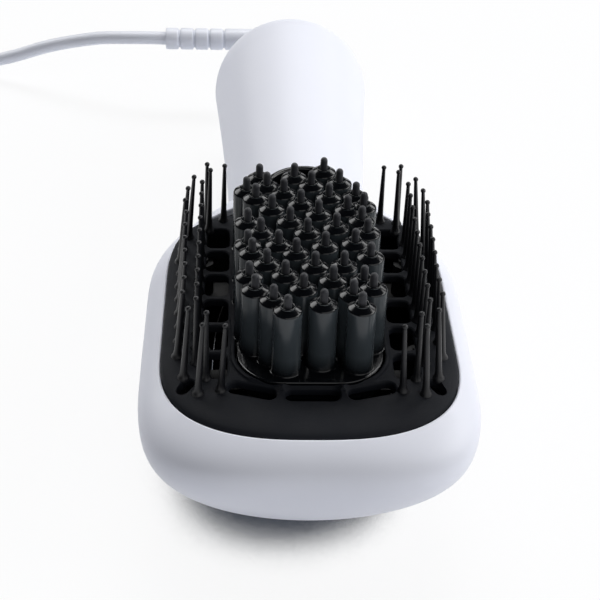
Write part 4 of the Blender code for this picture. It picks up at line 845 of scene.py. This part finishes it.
# %% Cover screws
shank_radius = 0.0012
recess_arm = (0.0028, 0.00055, 0.0013)
for word, (x, y) in screw_spots.items():
    low = underside(x, y) + 0.0004
    head = [(low + 0.0002, 0.0), (low, 0.0012)]
    head += fillet(low + 0.0007, 0.0017, 0.0007, 180, 90, 4)
    head += [(low + 0.0012, 0.0024), (low + 0.0012, shank_radius), (0.0110, shank_radius), (0.0110, 0.0)]
    screw = turned(head, upward(x, y), 32)
    for turn in (0, math.pi / 2):
        lie = {"location": (x, head_y + y, low), "rotation": (0, 0, turn)}
        carve(screw, added(bpy.ops.mesh.primitive_cube_add, size=1, scale=recess_arm, **lie))
    settled(screw, "screw_" + word, plain_steel, "steel", "cover_screw_" + word)

# %% [markdown]
# The plate is one ring-shaped stack: up its outer edge, over the curved lip, across the flat to the pad's
# opening, over the raised rim, down inside, and back underneath. The front lip is deep and the sides are
# narrow, which is what gives the head its chin.

# %% The vented plate
plate_low = 0.0352
edge_top = 0.0368
plate_top = 0.039
front_lip, side_lip = 0.0105, 0.0034
rim_width = 0.0015
rim_rise = 0.0008
pad_gap = 0.0005


def rim_shape(share):
    """The rim's height across its width: a short steep foot, then a round back that slopes to the gap."""
    along = share / 0.72
    return 1 - (1 - along) ** 2 if share > 0.36 else 1.64076 * along**2


outer = plate_outline(0, 0, -0.00005)
rings = [ring_at(outer, plate_low), ring_at(outer, edge_top - 0.0002)]
for k in range(14):
    share = k / 13
    level = edge_top + (plate_top - edge_top) * math.sqrt(1 - (1 - share) ** 2)
    rings.append(ring_at(plate_outline(front_lip * share, side_lip * share), level))
for k in range(15):
    share = k / 14
    outline = pad_outline(pad_gap + rim_width * (1 - share))
    rings.append(ring_at(outline, plate_top + 0.00001 + rim_rise * rim_shape(share)))
rings.append(ring_at(pad_outline(pad_gap), 0.0371))
rings.append(ring_at(plate_outline(front_lip, side_lip), 0.0370))
rings.append(ring_at(plate_outline(0.0020, 0.0020), plate_low))
plate = coated(rolled(rings, loop=True), plate_nylon)

# %% [markdown]
# The vents are rounded slots: six down each side, three across the front, one small oval at each front
# corner. A cutter is a plane with its corners bevelled round, extruded through the plate. Its last steps
# spread a little each time, which rolls the edge of the slot over as on the moulding. Each row of vents gives
# the slot's middle, its half width and half length, the radius of its corners, and its turn.

# %% The vents
def slot_cutter(half_x, half_y, corner, levels, place):
    """A rounded slot extruded through (height, spread) levels."""
    obj = added(bpy.ops.mesh.primitive_plane_add, size=2)
    low = levels[0][0]
    opened()
    bpy.ops.transform.resize(value=(half_x, half_y, 1), center_override=(0, 0, 0))
    bpy.ops.transform.translate(value=(0, 0, low))
    bpy.ops.mesh.bevel(offset=corner, offset_type="OFFSET", segments=6, affect="VERTICES")
    bpy.ops.mesh.select_all(action="SELECT")
    for (before, was), (height, spread) in zip(levels, levels[1:]):
        bpy.ops.mesh.extrude_region_move(TRANSFORM_OT_translate={"value": (0, 0, height - before)})
        ratio = ((half_x + spread) / (half_x + was), (half_y + spread) / (half_y + was), 1)
        bpy.ops.transform.resize(value=ratio, center_override=(0, 0, height))
    closed_up()
    obj.data.transform(place)
    return obj


vent_levels = (
    (0.034, 0),
    (0.0384, 0),
    (0.0387, 0.00008),
    (0.03888, 0.00022),
    (0.03897, 0.0004),
    (0.042, 0.0028),
)
vents = [(0.0, -0.0261, 0.00605, 0.00195, 0.0018, 0.0)]
for side in (-1, 1):
    vents += [(side * 0.0217, -0.01635 + k * 0.01015, 0.0029, 0.00425, 0.0019, 0.0) for k in range(6)]
    vents.append((side * 0.0132, -0.0247, 0.0055, 0.00195, 0.0018, side * math.radians(15)))
    vents.append((side * 0.0280, -0.0234, 0.0014, 0.0025, 0.00135, side * math.radians(30)))
for x, y, half_x, half_y, corner, turn in vents:
    place = upward(x, y) @ Matrix.Rotation(turn, 4, "Z")
    carve(plate, slot_cutter(half_x, half_y, corner, vent_levels, place), plate_nylon)
settled(plate, "vented_plate", None, "black_matt", "bristle_plate", angle=30)

# %% [markdown]
# A pin is a slim taper on a flared foot with a ball on its end, which keeps it from scratching. One is turned
# upright at the origin, then copied, leaned and joined. Each side has two long rows, of which the outer one
# bulges by up to a millimetre, and seven single pins near the corners.

# %% The pins
pin_height = 0.0187
outer_bulge_shares = (0.0, -0.2, -0.2, 0.1, 0.3, 0.5, 0.4, 1.0, 0.4, -1.2)


def pin_places():
    """Foot and tip of every pin on the right-hand side."""
    places = []
    for k, share in enumerate(outer_bulge_shares):
        y = -0.0154 + k * 0.0053
        places.append(((0.0259, y), (0.0255, y)))
        x = 0.0302 + 0.0008 * share
        y = -0.0131 + k * 0.0053
        places.append(((x, y), (x - 0.0017, y)))
    places += [
        ((0.0201, -0.0247), (0.0190, -0.0249)),
        ((0.0251, -0.0257), (0.0238, -0.0247)),
        ((0.0235, -0.0208), (0.0231, -0.0204)),
        ((0.0285, -0.0204), (0.0270, -0.0190)),
        ((0.0242, 0.0380), (0.0236, 0.0379)),
        ((0.0205, 0.0427), (0.0201, 0.0400)),
        ((0.0248, 0.0418), (0.0245, 0.0407)),
    ]
    return places


ball = 0.00064
pin_profile = [(-0.0006, 0.0), (-0.0006, 0.00142)]
pin_profile += [(0.0001, 0.00138), (0.0004, 0.00118), (0.0009, 0.00096), (0.0018, 0.00082), (0.0035, 0.00074)]
pin_profile += [(0.0090, 0.00062), (0.0150, 0.00050), (pin_height - 2 * ball + 0.0001, 0.00043)]
pin_profile += fillet(pin_height - ball, 0.0, ball, 138, 0, 8)


def lean(foot, tip, height):
    """The matrix that stands an upright piece on its foot and leans it over to its tip."""
    return Matrix((
        (1, 0, (tip[0] - foot[0]) / height, foot[0]),
        (0, 1, (tip[1] - foot[1]) / height, head_y + foot[1]),
        (0, 0, 1, plate_top),
        (0, 0, 0, 1),
    ))


def planted(model, places, height, name, *finish, angle=50):
    """Copies of one upright model, each with its own mesh, joined into one piece."""
    bpy.ops.object.select_all(action="DESELECT")
    copies = []
    for foot, tip in places:
        copy = model.copy()
        copy.data = model.data.copy()
        copy.data.transform(lean(foot, tip, height))
        bpy.context.scene.collection.objects.link(copy)
        copy.select_set(True)
        copies.append(copy)
    bpy.data.objects.remove(model)
    bpy.context.view_layer.objects.active = copies[0]
    bpy.ops.object.join()
    settled(bpy.context.object, name, *finish, angle=angle)


for word, side in (("left", -1), ("right", 1)):
    model = turned(pin_profile, Matrix(), 14)
    places = [((side * a, b), (side * c, d)) for (a, b), (c, d) in pin_places()]
    planted(model, places, pin_height, "pins_" + word, pin_nylon, "black_matt")

# %% [markdown]
# The pad's base is a low glossy block with softly rounded edges. The pillars stand on it in a slanted
# lattice, whose outer ones are drawn in to keep to the pad, so each of them grows together with its
# neighbour. The table gives each slanted row from the left, in millimetres from the head's middle.

# %% Where the pillars stand
pillar_rows = (
    ((-14.6, 29.6), (-11.4, 35.7)),
    ((-14.3, 6.6), (-14.3, 15.7), (-12.4, 26.6), (-9.6, 31.9)),
    ((-14.0, -5.9), (-13.3, 3.3), (-11.3, 11.8), (-8.5, 21.8), (-5.5, 29.1), (-2.7, 36.3)),
    ((-12.7, -10.8), (-10.0, -0.9), (-7.2, 6.7), (-4.3, 16.5), (-1.5, 24.2), (1.4, 32.7), (4.8, 39.1)),
    ((-8.7, -14.5), (-5.9, -5.4), (-3.2, 3.4), (-0.3, 11.7), (2.6, 19.7), (5.5, 27.2), (8.4, 33.8)),
    ((-5.7, -18.2), (-2.0, -10.3), (0.9, -1.9), (3.6, 6.1), (6.6, 14.0), (9.7, 21.7), (12.1, 27.7)),
    ((2.2, -16.1), (4.7, -7.3), (7.5, -1.6), (10.6, 7.4), (12.8, 17.0), (13.7, 23.1)),
    ((8.9, -12.5), (11.6, -7.2), (13.8, 1.9), (13.8, 11.8)),
    ((10.5, -17.1), (13.5, -10.1)),
)
spots = [Vector((x / 1000, y / 1000)) for row in pillar_rows for x, y in row]
print(len(spots), "pillars")

# %% [markdown]
# The base hangs by a flange under the plate, comes up through the plate's opening, and its top edge is
# rounded over in five steps.

# %% The pad's base
pad_top = 0.0397
pad_edge = 0.0004
rings = [
    ring_at(pad_outline(0.0017), 0.0354),
    ring_at(pad_outline(0.0017), 0.0366),
    ring_at(pad_outline(0.0), 0.0367),
    ring_at(pad_outline(0.0), pad_top - pad_edge),
]
for k in range(1, 6):
    inward = pad_edge * (1 - math.cos(math.pi / 2 * k / 5))
    level = pad_top - pad_edge * (1 - math.sin(math.pi / 2 * k / 5))
    rings.append(ring_at(pad_outline(-inward), level))
settled(rolled(rings), "pad_base", gloss_pbt, "black_gloss", "heater_pad", angle=60)

# %% [markdown]
# A pillar is a tube with a softly sloped shoulder, a small raised lip round its bore and a fine fillet where
# it grows out of the pad. The lip and the fillet are what draw the crisp bright lines, so the profile has a
# fine arc at each, and it is turned once and copied.

# %% The pillars
pillar_height = 0.0181
foot = pad_top - plate_top
side_top = pillar_height - 0.00128
pillar_profile = [(foot - 0.0003, 0.0), (foot - 0.0003, 0.00372), (foot + 0.00001, 0.00372)]
pillar_profile += [(foot + 0.00008, 0.00356), (foot + 0.0002, 0.00345), (foot + 0.00036, 0.00339)]
pillar_profile += [(0.0060, 0.00330)]
pillar_profile += fillet(side_top, 0.00255, 0.0007, 90, 34, 6)
pillar_profile += fillet(pillar_height + 0.00008, 0.00152, 0.00025, 110, -90, 7)
pillar_profile += [(pillar_height - 0.0003, 0.00125)]
pillar_profile += [(pillar_height - 0.0020, 0.00112), (pillar_height - 0.0020, 0.0)]
upright = [(tuple(spot), tuple(spot)) for spot in spots]
pillar = turned(pillar_profile, Matrix(), 32)
planted(pillar, upright, pillar_height, "pillars", pbt_painted_wall_reflection, "black_gloss")

# %% [markdown]
# Behind the last pillars stands a curved wall with a rounded top, which keeps hair off the hot pad's end. Its
# cross-section is a standing plane whose two top corners are bevelled round, and Spin sweeps it along the
# arc.

# %% The wall behind the pillars
wall_radius = 0.0096
wall_half = 0.0008
wall_low, wall_top = 0.0392, 0.0558
wall_sweep = math.radians(144)
end_wall = added(
    bpy.ops.mesh.primitive_plane_add,
    size=1,
    rotation=(math.pi / 2, 0, 0),
    location=(wall_radius, 0, (wall_low + wall_top) / 2),
)
end_wall.scale = (2 * wall_half, wall_top - wall_low, 1)
bpy.ops.object.transform_apply(location=True, rotation=True, scale=True)
pick("VERT", lambda spot: spot.co.z > wall_low + wall_half)
bpy.ops.mesh.bevel(offset=wall_half * 0.98, segments=5, affect="VERTICES")
bpy.ops.mesh.select_all(action="SELECT")
bpy.ops.mesh.spin(steps=40, angle=wall_sweep, center=(0, 0, 0), axis=(0, 0, 1))
closed_up()
end_wall.data.transform(upward(0, 0.0328) @ Matrix.Rotation(math.pi / 2 + wall_sweep / 2, 4, "Z"))
settled(end_wall, "end_wall", gloss_pbt, "black_gloss", angle=50)

# %% [markdown]
# The soft tips are what touches the scalp: short rounded rods of silicone, a little over three millimetres
# proud of their pillars.

# %% The soft tips
tip_radius = 0.0009
tip_top = pillar_height + 0.0033
tip_foot = pillar_height - 0.0018
tip_profile = [(tip_foot, 0.0), (tip_foot, 0.00094), (pillar_height + 0.0008, 0.00093)]
tip_profile += fillet(tip_top - tip_radius, 0.0, tip_radius, 90, 0, 6)
tip = turned(tip_profile, Matrix(), 16)
planted(tip, upright, tip_top, "soft_tips", tip_silicone, "soft_tips", "tip_mat")

# %% [markdown]
# The tail: a domed cap that carries on the handle's curve past a fine seam, with radial slots that draw the
# air in. Its profile goes over the dome to the hub, and back inside by the wall's thickness.

# %% Tail cap
def dome_radius(y):
    share = (y - handle_reach) / dome_length
    return tail_radius * math.sqrt(max(0.0, 1 - share * share))


def dome_reach(radius, inset=0.0):
    share = radius / (tail_radius - inset)
    return handle_reach + (dome_length - inset) * math.sqrt(1 - share * share)


tail_line = Matrix.Translation((0, head_y, tail_axis)) @ Matrix.Rotation(-math.pi / 2, 4, "X")
hub_radius = 0.0058
slot_count = 14
seam = seam_reach + 0.0003
start = dome_radius(seam + 0.0002)
profile = [(seam, dome_radius(seam) - 0.0002), (seam + 0.0002, start)]
for k in range(1, 15):
    radius = mix(start, hub_radius, k / 14)
    profile.append((dome_reach(radius), radius))
for k in range(9):
    radius = mix(hub_radius, dome_radius(seam) - wall, k / 8)
    profile.append((dome_reach(radius, wall), radius))
profile.append((seam, dome_radius(seam) - wall))
cap = coated(turned(profile, tail_line, 112, loop=True), white_abs)
for k in range(slot_count):
    spin = Matrix.Rotation(2 * math.pi * (k + 0.5) / slot_count, 4, "Z")
    place = tail_line @ spin @ Matrix.Translation((0, 0.0132, 0))
    carve(cap, slot_cutter(0.00095, 0.0033, 0.0009, ((0.150, 0), (0.166, 0)), place), white_abs)
settled(cap, "slotted_cap", None, "white_shell", "tail_cap")

# %% [markdown]
# The cord leaves through a stub on the tail's axis and a short arm across it. Both are turned and joined into
# an elbow, whose mouth is bored for the strain relief.

# %% Cord outlet
outlet_end = handle_reach + dome_length + 0.0245
outlet_radius = 0.0055
profile = [(0.1560, 0.0), (0.1560, outlet_radius), (0.1600, outlet_radius)]
profile += fillet(outlet_end - 0.0022, 0.0033, 0.0022, 90, 0, 6) + [(outlet_end, 0.0)]
stub = coated(turned(profile, tail_line, 48), white_abs)
profile = [(0.0, 0.0), (0.0, outlet_radius)]
profile += fillet(elbow_reach - 0.0010, 0.0045, 0.0010, 90, 0, 4) + [(elbow_reach, 0.0)]
carve(stub, turned(profile, outlet_line, 48), white_abs, "UNION")
bore, bore_end = 0.0033, elbow_reach + 0.002
profile = [(0.0030, 0.0), (0.0030, bore), (bore_end, bore), (bore_end, 0.0)]
# The bore's walls take the near black of painted shade.
carve(stub, turned(profile, outlet_line, 48), painted_shade_inside)
settled(stub, "outlet_elbow", None, "white_shell", "cord_outlet")

# %% [markdown]
# The bezel is a slim stadium in the back cover that frames two round keys. A key is turned with a dished face
# and a soft edge. It rides on its own body, because it travels when it is pressed.

# %% Bezel and keys
key_spots = {"power": 0.0710, "heat": 0.0850}
outer = stadium(0.00575, 0.0640, 0.0920)
inner = stadium(0.00535, 0.0644, 0.0916)
bezel = coated(rolled([ring_at(inner, 0.0046), ring_at(outer, 0.0050), ring_at(outer, 0.0076)]), key_abs)
for y in key_spots.values():
    profile = [(0.002, 0.0043), (0.0059, 0.0043), (0.0059, 0.0051), (0.010, 0.0051)]
    carve(bezel, turned(profile, upward(0, y), 48), key_abs)
settled(bezel, "key_bezel", None, "button_grey", "button_bezel")

face = 0.0042
flange_radius, stem_radius = 0.0048, 0.0014
profile = [(face + 0.0003, 0.0), (face + 0.00027, 0.0012), (face + 0.00015, 0.0022), (face + 0.00002, 0.0030)]
profile += fillet(face + 0.0006, 0.0034, 0.0006, 180, 90, 4)
profile += [(0.00595, 0.0040), (0.00595, flange_radius), (0.00655, flange_radius)]
profile += [(0.00655, stem_radius), (0.0088, stem_radius), (0.0088, 0.0)]
for word, y in key_spots.items():
    key = turned(profile, upward(0, y), 48)
    settled(key, word + "_key_cap", key_abs, "button_grey", word + "_button", body=word + "_key")

# %% [markdown]
# What stays of the CAD model, inside the head and the handle, only needs its finish. The mica pieces, the
# wire, the fuse and the heater's bracket get near black as painted shade.

# %% Finishes for the inner pieces
finishes = {
    plain_steel: ["fan_motor"],
    mica_painted_dark: ["insulator_sheet", "mica_former", "heater_sleeve", "thermistor"],
    wire_painted_dark: ["heating_wire", "thermal_fuse"],
    alumina: ["pad_heater"],
    board_mask: ["control_board"],
    dark_pa: ["ion_emitter", "motor_mount", "fan_impeller"],
    painted_shade_inside: ["heater_bracket"],
    filter_mesh: ["dust_filter"],
}
for material, names in finishes.items():
    for name in names:
        node = cad_nodes[name]
        node.data.materials.clear()
        node.data.materials.append(material)

# %% [markdown]
# The table is white and a little glossy. The camera, and whatever mirrors the room, sees nine tenths of it as
# an even pure white glow, darkened close under the object by ambient occlusion that leans to the front and
# left: a painted contact shadow. The rest is the table as the lamps really light it.

# %% The table
table = added(bpy.ops.mesh.primitive_plane_add, size=8, location=(0, 0, 0))
table.name = "table"
table_white = new_material("white_table", "#F1F3F8", 0.35)
# Painted contact shadow: the white glow turns toward #31363F where ambient occlusion is high, leaned by this
# normal.
painted_shadow_lean = add_node(table_white, "CombineXYZ", {"X": 0.30, "Y": 0.30, "Z": 0.91}).outputs["Vector"]
openness = add_node(
    table_white, "AmbientOcclusion", {"Distance": 0.10, "Normal": painted_shadow_lean}, samples=24
).outputs["AO"]
clear_of_painted_shadow = add_node(
    table_white,
    "MapRange",
    {"Value": openness, "From Min": 0.20, "From Max": 0.36},
    interpolation_type="SMOOTHSTEP",
).outputs["Result"]
colours = {"Factor": clear_of_painted_shadow, "A": linear("#31363F"), "B": (1.0, 1.0, 1.0, 1.0)}
painted_shadow_colour = add_node(table_white, "Mix", colours, data_type="RGBA").outputs["Result"]
glow = add_node(table_white, "Emission", {"Strength": 1.0, "Color": painted_shadow_colour}).outputs["Emission"]
rays = add_node(table_white, "LightPath").outputs
seen = rays["Is Camera Ray"]
for kind in ("Is Glossy Ray", "Is Transmission Ray"):
    either = {0: seen, 1: rays[kind]}
    seen = add_node(table_white, "Math", either, operation="MAXIMUM").outputs["Value"]
glow_share = add_node(table_white, "Math", {0: seen, 1: 0.9}, operation="MULTIPLY").outputs["Value"]
lit_table = table_white.node_tree.nodes["Principled BSDF"].outputs["BSDF"]
blend = add_node(table_white, "MixShader", {0: glow_share, 1: lit_table, 2: glow})
surface = table_white.node_tree.nodes["Material Output"].inputs["Surface"]
wire(table_white, blend.outputs["Shader"], surface)
table.data.materials.append(table_white)
table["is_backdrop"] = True

# %% [markdown]
# The lamps are large soft panels that stand behind and to the right, as in the picture: the tops and the
# right side are bright. One wide, dim panel in front and the table's own light are all that the front gets.
# Each row gives a lamp's name, its place, its width and height in metres, and its power in watts.

# %% The lamps and the room
brush_middle = Vector((0, -0.03, 0))
lamps = (
    ("behind_above", (0.0, 0.6, 1.0), 1.1, 0.3, 8.2),
    ("behind_left", (-0.8, 0.75, 0.7), 0.6, 0.6, 4.6),
    ("right", (1.1, 0.05, 0.6), 0.8, 0.6, 6.4),
    ("behind_right", (0.8, 0.75, 0.7), 0.4, 0.5, 2.6),
    ("front_panel", (0.65, -1.05, 0.75), 2.4, 1.2, 8.6),
)
for name, place, width, height, power in lamps:
    light = added(bpy.ops.object.light_add, type="AREA", location=place)
    light.name = name
    light.data.shape = "RECTANGLE"
    light.data.size = width
    light.data.size_y = height
    light.data.energy = power
    light.rotation_euler = (brush_middle - Vector(place)).to_track_quat("-Z", "Y").to_euler()

world = bpy.data.worlds.new("dim_room")
bpy.context.scene.world = world
world.use_nodes = True
sky = world.node_tree.nodes["Background"]
sky.inputs["Color"].default_value = linear("#DCE3F5")
sky.inputs["Strength"].default_value = 0.02
bpy.context.scene.view_settings.view_transform = "Standard"

# %% [markdown]
# Last, the size of what is shown is printed.

low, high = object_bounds()
print("visual size, mm:", [round((b - a) * 1000, 1) for a, b in zip(low, high)])
